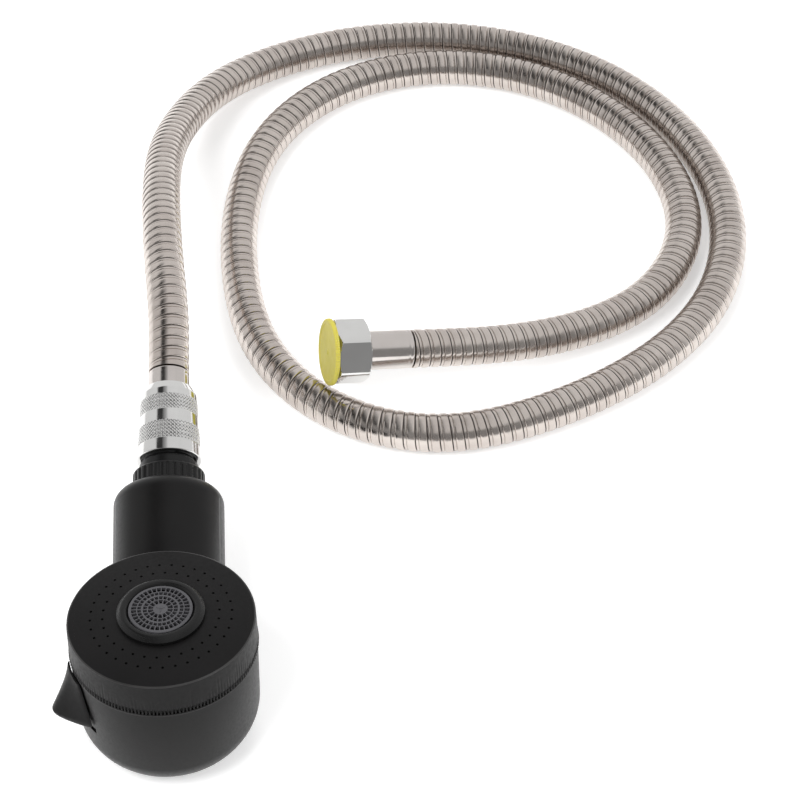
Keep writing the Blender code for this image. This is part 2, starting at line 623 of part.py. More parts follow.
def make_body():
    """The drum and the neck, moulded as one shell."""
    body = lofted(
        "body_shell",
        bowl(HEAD_RADIUS, HEAD_BASE_ROUND, 0.0)
        + [
            leaning_ring(HEAD_RADIUS, HEAD_BODY_HEIGHT),
            leaning_ring(SPIGOT_RADIUS, HEAD_BODY_HEIGHT),
            leaning_ring(SPIGOT_RADIUS, SPIGOT_TOP),
        ],
        finish=BLACK_PLASTIC,
    )
    round_start = NECK_LENGTH - NECK_ROUND
    barrel = turned(
        "neck_barrel",
        [(0.0, 0.0), (NECK_RADIUS, 0.0)]
        + arc((NECK_RADIUS - NECK_ROUND, round_start), NECK_ROUND, 0.0, 90.0, NECK_ROUND_STEPS)
        + [(0.0, NECK_LENGTH)],
        NECK_AXIS,
    )
    reach = 2 * HEAD_RADIUS
    under = block("under_neck", (-reach, -reach, -reach), (reach, reach, NECK_FLOOR))
    cut(barrel, under)
    fuse(body, barrel)

    recess = SKIRT_RADIUS + CAP_RECESS_GAP
    above = FACE_LEVEL + HEAD_RADIUS
    cap_room = turned(
        "cap_room",
        [
            (SPIGOT_RADIUS, HEAD_BODY_HEIGHT),
            (recess, HEAD_BODY_HEIGHT),
            (recess, above),
            (0.0, above),
            (0.0, SPIGOT_TOP),
            (SPIGOT_RADIUS, SPIGOT_TOP),
        ],
        HEAD_AXIS,
    )
    cavity = lofted(
        "drum_cavity",
        bowl(CAVITY_RADIUS, HEAD_BASE_ROUND - HEAD_WALL, HEAD_FLOOR)
        + [leaning_ring(CAVITY_RADIUS, SPIGOT_TOP + THROUGH)],
    )
    below = -2 * HEAD_BASE_ROUND
    for side, azimuth in SCREW_AZIMUTHS.items():
        post = rods(
            "post_" + side,
            SCREW_HOLE + POST_WALL,
            [(polar(SCREW_CIRCLE, azimuth, below), polar(SCREW_CIRCLE, azimuth, POST_TOP))],
            HEAD_AXIS,
        )
        cut(cavity, post)
    for side, near in (("a", LUG_START), ("b", -LUG_START - LUG_WIDTH)):
        low, high = (-LUG_REACH, near, below), (HEAD_RADIUS, near + LUG_WIDTH, LUG_TOP)
        lug = block("lug_" + side, low, high, LEVER_AXIS)
        cut(cavity, lug)
    cut(body, cap_room, cavity)

    chamber = turned(
        "filter_chamber",
        [
            (0.0, CHAMBER_START),
            (CHAMBER_RADIUS, CHAMBER_START),
            (CHAMBER_RADIUS, CHAMBER_END),
            (ENTRY_HOLE, CHAMBER_END),
            (ENTRY_HOLE, NECK_LENGTH + THROUGH),
            (0.0, NECK_LENGTH + THROUGH),
        ],
        NECK_AXIS,
    )
    inlet_end = CHAMBER_START + INLET_HOLE
    passage = rods(
        "inlet_passage",
        INLET_HOLE,
        [((0.0, CAVITY_RADIUS - 2 * THROUGH, INLET_LEVEL), (0.0, inlet_end, INLET_LEVEL))],
        HEAD_AXIS,
    )
    slot_half = STEM_BLOCK_WIDTH / 2 + GAP + SLIDE_GAP
    inside = CAVITY_RADIUS - LEVER_PIVOT_RADIUS - THROUGH
    outside = HEAD_RADIUS - LEVER_PIVOT_RADIUS + THROUGH
    slot = block(
        "lever_slot",
        (inside, -slot_half, (SLOT_BOTTOM + SLOT_FOOT_TOP) / 2),
        (outside, slot_half, SLOT_TOP),
        LEVER_AXIS,
    )
    slot_foot = block(
        "slot_foot",
        (inside - GAP, -LEVER_HALF_WIDTH, SLOT_BOTTOM),
        (outside + GAP, LEVER_HALF_WIDTH, SLOT_FOOT_TOP),
        LEVER_AXIS,
    )
    half_hub = HUB_WIDTH / 2 + GAP
    hub_ends = [((0.0, -half_hub, 0.0), (0.0, half_hub, 0.0))]
    hub_room = rods("hub_room", HUB_HOLE + HUB_WALL + SLIDE_GAP, hub_ends, LEVER_AXIS)
    half_pin = PIN_LENGTH / 2 + THROUGH
    pin_hole = rods("pin_hole", HUB_HOLE, [((0.0, -half_pin, 0.0), (0.0, half_pin, 0.0))], LEVER_AXIS)
    cut(body, chamber, passage, slot, slot_foot, hub_room, pin_hole)
    screw_end = SCREW_SEAT - SCREW_LENGTH - SLIDE_GAP
    for side, azimuth in SCREW_AZIMUTHS.items():
        hole = rods(
            "screw_hole_" + side,
            SCREW_HOLE,
            [(polar(SCREW_CIRCLE, azimuth, screw_end), polar(SCREW_CIRCLE, azimuth, SCREW_SEAT))],
            HEAD_AXIS,
        )
        cut(body, hole)


def make_front_cap():
    """The ribbed cap with its spray holes and the boss round the middle outlet."""
    skirt_bore = SKIRT_RADIUS - SKIRT_WALL
    cap = turned(
        "spray_face",
        [
            (skirt_bore, SKIRT_BOTTOM),
            (SKIRT_RADIUS, SKIRT_BOTTOM),
            (RIM_RADIUS, RIM_LEVEL - FACE_EDGE),
            (RIM_RADIUS - FACE_EDGE, RIM_LEVEL),
            ((RIM_RADIUS + FACE_FLAT_RADIUS) / 2, RIM_LEVEL + FACE_CROWN * FACE_BULGE),
            (FACE_FLAT_RADIUS, FACE_LEVEL),
            (BOSS_BORE, FACE_LEVEL),
            (BOSS_BORE, BOSS_BOTTOM),
            (BOSS_RADIUS, BOSS_BOTTOM),
            (BOSS_RADIUS, FACE_UNDERSIDE),
            (skirt_bore, FACE_UNDERSIDE),
        ],
        HEAD_AXIS,
        BLACK_CAP,
    )
    low, high = FACE_UNDERSIDE - THROUGH, FACE_LEVEL + THROUGH
    holes = ring_of_ends(OUTER_HOLES, OUTER_HOLE_CIRCLE, low, high, HOLE_START)
    holes += ring_of_ends(INNER_HOLES, INNER_HOLE_CIRCLE, low, high, HOLE_START)
    cut(cap, rods("spray_holes", HOLE_RADIUS, holes, HEAD_AXIS, sides=HOLE_SIDES))

    grooves = bmesh.new()
    pitch = math.tau / SKIRT_RIBS
    outside = SKIRT_RADIUS + THROUGH
    depth = SKIRT_RADIUS - SKIRT_RIB_DEPTH
    half = pitch * SKIRT_GROOVE_SHARE / 2
    for index in range(SKIRT_RIBS):
        middle = (index + 0.5) * pitch
        corners = [
            polar(outside, middle - half).xy,
            polar(outside, middle + half).xy,
            polar(depth, middle).xy,
        ]
        prism(grooves, corners, SKIRT_BOTTOM - THROUGH, SKIRT_BOTTOM + SKIRT_RIB_HEIGHT)
    cut(cap, solid("skirt_grooves", grooves, HEAD_AXIS))


def make_outlet():
    """Bezel, grille, cartridge, strainer and rubber ring of the middle outlet."""
    bezel_centre = (BEZEL_RADIUS - BEZEL_ROUND, BEZEL_TOP - BEZEL_ROUND)
    turned(
        "aerator_ring",
        [
            (OUTLET_SLEEVE_RADIUS, OUTLET_SLEEVE_BOTTOM),
            (OUTLET_SLEEVE_RADIUS, BEZEL_BOTTOM),
            (BEZEL_RADIUS, BEZEL_BOTTOM),
        ]
        + arc(bezel_centre, BEZEL_ROUND, 0.0, 90.0, BEZEL_STEPS)
        + [
            (OUTLET_SLEEVE_BORE, BEZEL_TOP),
            (BEZEL_OPENING, GRILLE_TOP + GAP),
            (BEZEL_OPENING, GRILLE_BOTTOM + GAP),
            (OUTLET_SLEEVE_BORE, GRILLE_BOTTOM - GAP),
            (OUTLET_SLEEVE_BORE, OUTLET_SLEEVE_BOTTOM),
        ],
        HEAD_AXIS,
        BLACK_COLLAR,
        INNER_SIDES,
    )
    grille = turned(
        "aerator_grille",
        slab(0.0, GRILLE_RADIUS, GRILLE_BOTTOM, GRILLE_TOP),
        HEAD_AXIS,
        GREY_PLASTIC,
        INNER_SIDES,
    )
    cells = bmesh.new()
    for inner, outer in zip(GRILLE_RINGS, GRILLE_RINGS[1:]):
        for index in range(GRILLE_SPOKES):
            start = index * math.tau / GRILLE_SPOKES
            stop = start + math.tau / GRILLE_SPOKES
            inner_wall, outer_wall = inner + GRILLE_BAR / 2, outer - GRILLE_BAR / 2
            inner_turn = GRILLE_BAR / 2 / inner_wall
            outer_turn = GRILLE_BAR / 2 / outer_wall
            corners = [
                polar(inner_wall, start + inner_turn).xy,
                polar(outer_wall, start + outer_turn).xy,
                polar(outer_wall, stop - outer_turn).xy,
                polar(inner_wall, stop - inner_turn).xy,
            ]
            prism(cells, corners, GRILLE_BOTTOM - THROUGH, GRILLE_TOP + THROUGH)
    cut(grille, solid("grille_cells", cells, HEAD_AXIS))

    web_bottom = CARTRIDGE_BOTTOM + CARTRIDGE_WEB_RISE
    web_top = web_bottom + CARTRIDGE_WEB
    flange_top = CARTRIDGE_BOTTOM + CARTRIDGE_FLANGE
    cartridge = turned(
        "aerator_body",
        [
            (0.0, web_bottom),
            (CARTRIDGE_BORE, web_bottom),
            (CARTRIDGE_BORE, CARTRIDGE_BOTTOM),
            (CARTRIDGE_FLANGE_RADIUS, CARTRIDGE_BOTTOM),
            (CARTRIDGE_FLANGE_RADIUS, flange_top),
            (CARTRIDGE_RADIUS, flange_top),
            (CARTRIDGE_RADIUS, CARTRIDGE_TOP),
            (CARTRIDGE_BORE, CARTRIDGE_TOP),
            (CARTRIDGE_BORE, web_top),
            (0.0, web_top),
        ],
        HEAD_AXIS,
        WHITE_PLASTIC,
        SEAL_SIDES,
    )
    low, high = web_bottom - THROUGH, web_top + THROUGH
    mixing = ring_of_ends(CARTRIDGE_HOLES, CARTRIDGE_HOLE_CIRCLE, low, high)
    cut(cartridge, rods("mixing_holes", CARTRIDGE_HOLE_RADIUS, mixing, HEAD_AXIS, sides=SMALL_HOLE_SIDES))

    screen_top = web_bottom - GAP
    screen_bottom = screen_top - SCREEN_THICKNESS
    screen_radius = CARTRIDGE_BORE - GAP
    screen = turned(
        "aerator_screen",
        slab(0.0, screen_radius, screen_bottom, screen_top),
        HEAD_AXIS,
        STEEL,
        SEAL_SIDES,
    )
    low, high = screen_bottom - THROUGH, screen_top + THROUGH
    strain = ring_of_ends(SCREEN_HOLES, SCREEN_HOLE_CIRCLE, low, high)
    cut(screen, rods("strainer_holes", SCREEN_HOLE_RADIUS, strain, HEAD_AXIS, sides=SMALL_HOLE_SIDES))

    low, high = DIVIDER_TOP + GAP, CARTRIDGE_BOTTOM - GAP
    outer = CARTRIDGE_FLANGE_RADIUS
    inner = outer - SOFT_RING_WALL
    turned("aerator_washer", slab(inner, outer, low, high), HEAD_AXIS, RUBBER, SEAL_SIDES)
    inner = BOSS_BORE + GASKET_INSET
    outer = inner + GASKET_WALL
    high = BOSS_BOTTOM - GAP
    turned("centre_gasket", slab(inner, outer, low, high), HEAD_AXIS, RUBBER, SEAL_SIDES)
    seal_level = (SPIGOT_TOP + FACE_UNDERSIDE) / 2
    ring_seal("face_seal", SPIGOT_RADIUS - SPIGOT_WALL / 2, O_RING, seal_level, HEAD_AXIS, RUBBER)


def make_divider():
    """The deck that lets water up to the spray holes only through its ports."""
    inner = BARREL_RADIUS + GAP
    outer = CAVITY_RADIUS - SLIDE_GAP
    divider = turned(
        "flow_divider",
        slab(inner, outer, DIVIDER_BOTTOM, DIVIDER_TOP),
        HEAD_AXIS,
        WHITE_PLASTIC,
        INNER_SIDES,
    )
    low, high = DIVIDER_BOTTOM - THROUGH, DIVIDER_TOP + THROUGH
    ports = ring_of_ends(DIVIDER_PORTS, DIVIDER_PORT_CIRCLE, low, high)
    cut(divider, rods("divider_ports", DIVIDER_PORT_RADIUS, ports, HEAD_AXIS, sides=SMALL_HOLE_SIDES))


def make_valve_block():
    """Barrel and trough: water enters the barrel and leaves by its top or through its window."""
    stem_hole = STEM_RADIUS + SLIDE_GAP
    web_top = BARREL_BOTTOM + BARREL_WEB
    trough_bore = TROUGH_RADIUS - TROUGH_WALL
    valve = turned(
        "valve_block",
        [
            (stem_hole, BARREL_BOTTOM),
            (BARREL_RADIUS, BARREL_BOTTOM),
            (BARREL_RADIUS, TROUGH_BOTTOM),
            (TROUGH_RADIUS, TROUGH_BOTTOM),
            (TROUGH_RADIUS, TROUGH_TOP),
            (trough_bore, TROUGH_TOP),
            (trough_bore, TROUGH_FLOOR),
            (BARREL_RADIUS, TROUGH_FLOOR),
            (BARREL_RADIUS, BARREL_TOP),
            (BARREL_BORE, BARREL_TOP),
            (BARREL_BORE, web_top),
            (stem_hole, web_top),
        ],
        HEAD_AXIS,
        WHITE_PLASTIC,
        INNER_SIDES,
    )
    port = rods(
        "inlet_port",
        INLET_HOLE,
        [((0.0, STEM_RADIUS, INLET_LEVEL), (0.0, BARREL_RADIUS + THROUGH, INLET_LEVEL))],
        HEAD_AXIS,
    )
    window = block(
        "spray_window",
        (-WINDOW_WIDTH / 2, -BARREL_RADIUS - THROUGH, WINDOW_BOTTOM),
        (WINDOW_WIDTH / 2, 0.0, WINDOW_BOTTOM + WINDOW_HEIGHT),
        HEAD_AXIS,
    )
    cut(valve, port, window)
    for side, azimuth in SCREW_AZIMUTHS.items():
        ear = block(
            "ear_" + side,
            (TROUGH_RADIUS - TROUGH_WALL / 2, -EAR_WIDTH / 2, EAR_LEVEL),
            (SCREW_CIRCLE + EAR_REACH, EAR_WIDTH / 2, EAR_LEVEL + EAR_THICKNESS),
            HEAD_AXIS,
        )
        ear.rotation_euler.z = azimuth
        fuse(valve, ear)
        low, high = EAR_LEVEL - THROUGH, EAR_LEVEL + EAR_THICKNESS + THROUGH
        hole = rods(
            "ear_hole_" + side,
            SCREW_HOLE,
            [(polar(SCREW_CIRCLE, azimuth, low), polar(SCREW_CIRCLE, azimuth, high))],
            HEAD_AXIS,
            sides=STUD_SIDES,
        )
        cut(valve, hole)


def make_screws():
    for side, azimuth in SCREW_AZIMUTHS.items():
        screw = turned(
            "block_screw_" + side,
            [
                (0.0, -SCREW_LENGTH),
                (SCREW_RADIUS, -SCREW_LENGTH),
                (SCREW_RADIUS, 0.0),
                (SCREW_HEAD_RADIUS, 0.0),
                (SCREW_HEAD_RADIUS, SCREW_HEAD_HEIGHT),
                (0.0, SCREW_HEAD_HEIGHT),
            ],
            HEAD_AXIS,
            STEEL,
            sides=STUD_SIDES,
        )
        screw.location = polar(SCREW_CIRCLE, azimuth, SCREW_SEAT)
        slot = block(
            "screw_slot_" + side,
            (-SCREW_HEAD_RADIUS - THROUGH, -SCREW_SLOT / 2, SCREW_HEAD_HEIGHT / 2),
            (SCREW_HEAD_RADIUS + THROUGH, SCREW_SLOT / 2, SCREW_HEAD_HEIGHT + THROUGH),
            HEAD_AXIS,
        )
        slot.location = screw.location
        cut(screw, slot)


def make_diverter():
    """The sliding sleeve, its O-ring and the seat that it closes against."""
    spool = turned(
        "diverter_spool",
        [
            (0.0, STEM_BOTTOM),
            (FORK_DISC_RADIUS, STEM_BOTTOM),
            (FORK_DISC_RADIUS, FORK_GROOVE_BOTTOM),
            (STEM_RADIUS, FORK_GROOVE_BOTTOM),
            (STEM_RADIUS, FORK_GROOVE_TOP),
            (FORK_DISC_RADIUS, FORK_GROOVE_TOP),
            (FORK_DISC_RADIUS, FORK_GROOVE_TOP + FORK_DISC),
            (STEM_RADIUS, FORK_GROOVE_TOP + FORK_DISC),
            (STEM_RADIUS, SPOOL_BOTTOM + SPIDER_DEPTH + 2 * SPIDER_INSET),
            (0.0, SPOOL_BOTTOM + SPIDER_DEPTH + 2 * SPIDER_INSET),
        ],
        HEAD_AXIS,
        WHITE_PLASTIC,
        SMALL_SIDES,
    )
    groove = SPOOL_RADIUS - SEAL_GROOVE_DEPTH
    sleeve = turned(
        "spool_sleeve",
        [
            (SPOOL_BORE, SPOOL_BOTTOM),
            (SPOOL_RADIUS, SPOOL_BOTTOM),
            (SPOOL_RADIUS, SEAL_LEVEL - SEAL_GROOVE_WIDTH / 2),
            (groove, SEAL_LEVEL - SEAL_GROOVE_WIDTH / 2),
            (groove, SEAL_LEVEL + SEAL_GROOVE_WIDTH / 2),
            (SPOOL_RADIUS, SEAL_LEVEL + SEAL_GROOVE_WIDTH / 2),
            (SPOOL_RADIUS, SPOOL_TOP),
            (SPOOL_BORE, SPOOL_TOP),
        ],
        HEAD_AXIS,
        sides=SEAL_SIDES,
    )
    fuse(spool, sleeve)
    reach = (SPOOL_BORE + groove) / 2
    low = SPOOL_BOTTOM + SPIDER_INSET
    for axis, half in (("x", (reach, SPIDER_WIDTH / 2)), ("y", (SPIDER_WIDTH / 2, reach))):
        bar = block(
            "spider_" + axis, (-half[0], -half[1], low), (half[0], half[1], low + SPIDER_DEPTH), HEAD_AXIS
        )
        fuse(spool, bar)
    ring_seal(
        "spool_seal", groove + GAP + SMALL_O_RING, SMALL_O_RING, SEAL_LEVEL, HEAD_AXIS, RUBBER
    )

    ring_outer = BARREL_BORE - GAP
    ring_inner = ring_outer - SEAT_RING_WALL
    plug = SPOOL_BORE + SEAT_OVERLAP
    seat = turned(
        "outlet_seat",
        slab(0.0, plug, SEAT_BOTTOM, SEAT_BOTTOM + SEAT_HEIGHT),
        HEAD_AXIS,
        BLACK_PLASTIC,
        SEAL_SIDES,
    )
    rim = turned(
        "seat_rim",
        slab(ring_inner, ring_outer, SEAT_BOTTOM, SEAT_BOTTOM + SEAT_HEIGHT),
        HEAD_AXIS,
        sides=SEAL_SIDES,
    )
    fuse(seat, rim)
    low = SEAT_BOTTOM + SPIDER_INSET
    high = SEAT_BOTTOM + SEAT_HEIGHT - SPIDER_INSET
    reach = ring_outer - SEAT_RING_WALL / 2
    for axis, half in (("x", (reach, SPIDER_WIDTH / 2)), ("y", (SPIDER_WIDTH / 2, reach))):
        bar = block("seat_bar_" + axis, (-half[0], -half[1], low), (half[0], half[1], high), HEAD_AXIS)
        fuse(seat, bar)


def lever_section(share, closing):
    """Half width, thickness and height at a share of the lever's height. Closing is 1 at the corner's end."""
    straight = 1 - LEVER_CORNER / LEVER_HEIGHT
    corner = LEVER_CORNER * (1 - math.sqrt(1 - closing**2))
    thickness = LEVER_EDGE + (LEVER_REACH - LEVER_EDGE) * min(1.0, share / straight) - corner
    growth = (LEVER_HALF_WIDTH - LEVER_TOP_HALF_WIDTH) * share**LEVER_WIDENING
    return LEVER_TOP_HALF_WIDTH + growth - corner / 2, thickness, LEVER_TOP - LEVER_HEIGHT * share


def lever_ridge(across):
    """Share of the lever's thickness at a place across it, from -1 to 1."""
    fall = math.hypot(across, LEVER_RIDGE) - LEVER_RIDGE
    return 1 - fall / (math.hypot(1.0, LEVER_RIDGE) - LEVER_RIDGE)


def make_lever():
    """The thumb lever: a wedge-shaped pad, a hub on the pin and a fork that moves the spool."""
    straight = 1 - LEVER_CORNER / LEVER_HEIGHT
    levels = [(straight * row / LEVER_ROWS, 0.0) for row in range(LEVER_ROWS)]
    for row in range(LEVER_CORNER_ROWS + 1):
        closing = math.sin(row * math.pi / 2 / LEVER_CORNER_ROWS)
        levels.append((straight + (1 - straight) * closing, closing))
    rings = []
    for share, closing in levels:
        half, thickness, height = lever_section(share, closing)
        back, front = [], []
        for column in range(LEVER_COLUMNS + 1):
            across = 2 * column / LEVER_COLUMNS - 1
            side = half * across
            wall = math.sqrt(HEAD_RADIUS**2 - side**2) - LEVER_PIVOT_RADIUS
            dome = LEVER_EDGE + (thickness - LEVER_EDGE) * lever_ridge(across)
            back.append(Vector((wall + SLIDE_GAP, side, height)))
            front.append(Vector((wall + SLIDE_GAP + dome, side, height)))
        rings.append(front + back[::-1])
    lever = lofted("mode_lever", rings, LEVER_AXIS, BLACK_LEVER)
    half = HUB_WIDTH / 2
    hub = rods("lever_hub", HUB_HOLE + HUB_WALL, [((0.0, -half, 0.0), (0.0, half, 0.0))], LEVER_AXIS)
    half = STEM_BLOCK_WIDTH / 2
    stem = block(
        "lever_stem", (0.0, -half, STEM_BLOCK_BOTTOM), (STEM_BLOCK_LENGTH, half, STEM_BLOCK_TOP), LEVER_AXIS
    )
    low = FORK_LEVEL - FORK_THICKNESS / 2
    high = FORK_LEVEL + FORK_THICKNESS / 2
    half = ARM_WIDTH / 2
    arm = block("lever_arm", (-ARM_DEPTH, -half, low), (THROUGH / 2, half, 0.0), LEVER_AXIS)
    half = FORK_WIDTH / 2
    fork = block("lever_fork", (-FORK_LENGTH, -half, low), (-ARM_DEPTH / 2, half, high), LEVER_AXIS)
    fuse(lever, hub, stem, arm, fork)
    half = HUB_WIDTH / 2 + THROUGH
    pin_hole = rods("hub_hole", HUB_HOLE, [((0.0, -half, 0.0), (0.0, half, 0.0))], LEVER_AXIS)
    half = STEM_RADIUS + GAP
    near = (-FORK_LENGTH - THROUGH, -half, low - THROUGH)
    notch = block("fork_notch", near, (-FORK_SLOT_END, half, high + THROUGH), LEVER_AXIS)
    cut(lever, pin_hole, notch)
    half = PIN_LENGTH / 2
    rods("lever_pin", PIN_RADIUS, [((0.0, -half, 0.0), (0.0, half, 0.0))], LEVER_AXIS, STEEL)


def make_inlet():
    """Tube, strainer basket, ribbed collar and stub that carry water from the hose."""
    end = INLET_START + INLET_LENGTH
    tube = rods(
        "inlet_tube",
        INLET_RADIUS,
        [((0.0, INLET_START, INLET_LEVEL), (0.0, end, INLET_LEVEL))],
        HEAD_AXIS,
        WHITE_PLASTIC,
    )
    bore = rods(
        "inlet_tube_bore",
        INLET_RADIUS - INLET_WALL,
        [((0.0, INLET_START - THROUGH, INLET_LEVEL), (0.0, end + THROUGH, INLET_LEVEL))],
        HEAD_AXIS,
    )
    cut(tube, bore)

    inner = FILTER_RADIUS - FILTER_WALL
    basket = turned(
        "inlet_filter",
        [
            (0.0, FILTER_START),
            (FILTER_RADIUS, FILTER_START),
            (FILTER_RADIUS, FILTER_END),
            (inner, FILTER_END),
            (inner, FILTER_START + FILTER_WALL),
            (0.0, FILTER_START + FILTER_WALL),
        ],
        NECK_AXIS,
        WHITE_PLASTIC,
        SEAL_SIDES,
    )
    low = FILTER_START + FILTER_SLOT_MARGIN
    high = FILTER_END - FILTER_SLOT_MARGIN
    for index in range(FILTER_SLOTS // 2):
        slot = block(
            "filter_slot_%d" % index,
            (-FILTER_RADIUS - THROUGH, -FILTER_SLOT_WIDTH / 2, low),
            (FILTER_RADIUS + THROUGH, FILTER_SLOT_WIDTH / 2, high),
            NECK_AXIS,
        )
        slot.rotation_euler.z = index * math.tau / FILTER_SLOTS
        cut(basket, slot)

    groove_middle = (CHAMBER_END + NECK_LENGTH) / 2
    groove = SPIGOT_ENTRY - SEAL_GROOVE_DEPTH
    collar_centre = (COLLAR_RADIUS - COLLAR_ROUND, COLLAR_END - COLLAR_ROUND)
    connector = turned(
        "inlet_connector",
        [
            (CONNECTOR_BORE, ENTRY_START),
            (SPIGOT_ENTRY, ENTRY_START),
            (SPIGOT_ENTRY, groove_middle - SEAL_GROOVE_WIDTH / 2),
            (groove, groove_middle - SEAL_GROOVE_WIDTH / 2),
            (groove, groove_middle + SEAL_GROOVE_WIDTH / 2),
            (SPIGOT_ENTRY, groove_middle + SEAL_GROOVE_WIDTH / 2),
            (SPIGOT_ENTRY, COLLAR_START),
            (COLLAR_RADIUS, COLLAR_START),
        ]
        + arc(collar_centre, COLLAR_ROUND, 0.0, 90.0, COLLAR_ROUND_STEPS)
        + [
            (STEP_RADIUS, COLLAR_END),
            (STEP_RADIUS, COLLAR_END + STEP_LENGTH),
            (STUB_RADIUS, COLLAR_END + STEP_LENGTH),
            (STUB_RADIUS, STUB_END),
            (CONNECTOR_BORE, STUB_END),
        ],
        NECK_AXIS,
        BLACK_COLLAR,
        COLLAR_RIBS,
    )
    grooves = bmesh.new()
    pitch = math.tau / COLLAR_RIBS
    outside = COLLAR_RADIUS + THROUGH
    half = pitch * COLLAR_GROOVE_SHARE / 2
    for index in range(COLLAR_RIBS):
        middle = index * pitch
        corners = [
            polar(outside, middle - half).xy,
            polar(outside, middle + half).xy,
            polar(COLLAR_RADIUS - COLLAR_RIB_DEPTH, middle).xy,
        ]
        prism(grooves, corners, COLLAR_START - THROUGH, COLLAR_END - COLLAR_ROUND)
    cut(connector, solid("collar_grooves", grooves, NECK_AXIS))
    ring_seal(
        "connector_seal", groove + GAP + SMALL_O_RING, SMALL_O_RING, groove_middle, NECK_AXIS, RUBBER
    )


def washer(name, start, parent):
    outline = slab(WASHER_BORE, BARB_FLANGE_RADIUS, start, start + WASHER_THICKNESS)
    turned(name, outline, parent, RUBBER, SEAL_SIDES)


def barb(name, flange_start, flange_end, tip, parent):
    """A flanged insert, its ridged stem ending at the tip inside the hose."""
    toward = math.copysign(1.0, tip - flange_end)
    outline = [
        (BARB_BORE, flange_start),
        (BARB_FLANGE_RADIUS, flange_start),
        (BARB_FLANGE_RADIUS, flange_end),
        (BARB_RADIUS, flange_end),
    ]
    for index in range(BARB_RIDGES, 0, -1):
        top = tip - toward * index * BARB_PITCH
        outline.append((BARB_RADIUS, top - toward * GAP))
        outline.append((BARB_RADIUS + BARB_RIDGE, top))
        outline.append((BARB_RADIUS, top + toward * BARB_PITCH / 2))
    outline += [(BARB_RADIUS, tip), (BARB_BORE, tip)]
    turned(name, outline, parent, BRASS, sides=STUD_SIDES)


def ferrule(name, start, end, parent):
    turned(name, slab(HOSE_BORE, FERRULE_RADIUS, start, end), parent, CHROME, SEAL_SIDES)


def make_handset_fitting():
    """Washer, insert, ferrule and conical nut at the handset."""
    washer("handset_washer", HANDSET_WASHER_START, NECK_AXIS)
    barb(
        "handset_barb",
        HANDSET_BARB_START,
        HANDSET_BARB_START + BARB_FLANGE,
        HOSE_START + BARB_IN_HOSE,
        NECK_AXIS,
    )
    ferrule("handset_ferrule", HANDSET_FERRULE_START, HANDSET_FERRULE_END, NECK_AXIS)
    nut = turned(
        "handset_nut",
        [
            (THREAD_RADIUS, HANDSET_NUT_START),
            (HANDSET_NUT_MOUTH, HANDSET_NUT_START),
            (HANDSET_NUT_WAIST, HANDSET_NUT_STOP - HANDSET_NUT_CHAMFER),
            (HANDSET_NUT_END, HANDSET_NUT_STOP),
            (FERRULE_HOLE, HANDSET_NUT_STOP),
            (FERRULE_HOLE, HANDSET_NUT_FLOOR),
            (THREAD_RADIUS, HANDSET_NUT_FLOOR),
        ],
        NECK_AXIS,
        CHROME,
        2 * KNURL_RIBS,
    )
    slope = (HANDSET_NUT_MOUTH - HANDSET_NUT_WAIST) / (HANDSET_NUT_LENGTH - HANDSET_NUT_CHAMFER)
    pitch = math.tau / KNURL_RIBS
    half = pitch * KNURL_GROOVE_SHARE / 2
    grooves = bmesh.new()
    for first, last in KNURL_BANDS:
        for index in range(KNURL_RIBS):
            middle = index * pitch
            corners = []
            for distance in (first, last):
                surface = HANDSET_NUT_MOUTH - slope * distance
                level = HANDSET_NUT_START + distance
                outside = surface + THROUGH
                corners += [
                    grooves.verts.new(polar(outside, middle - half, level)),
                    grooves.verts.new(polar(outside, middle + half, level)),
                    grooves.verts.new(polar(surface - KNURL_DEPTH, middle, level)),
                ]
            lower, upper = corners[:3], corners[3:]
            grooves.faces.new(lower)
            grooves.faces.new(upper)
            for one, two in ((0, 1), (1, 2), (2, 0)):
                grooves.faces.new((lower[one], lower[two], upper[two], upper[one]))
    cut(nut, solid("knurl_grooves", grooves, NECK_AXIS))


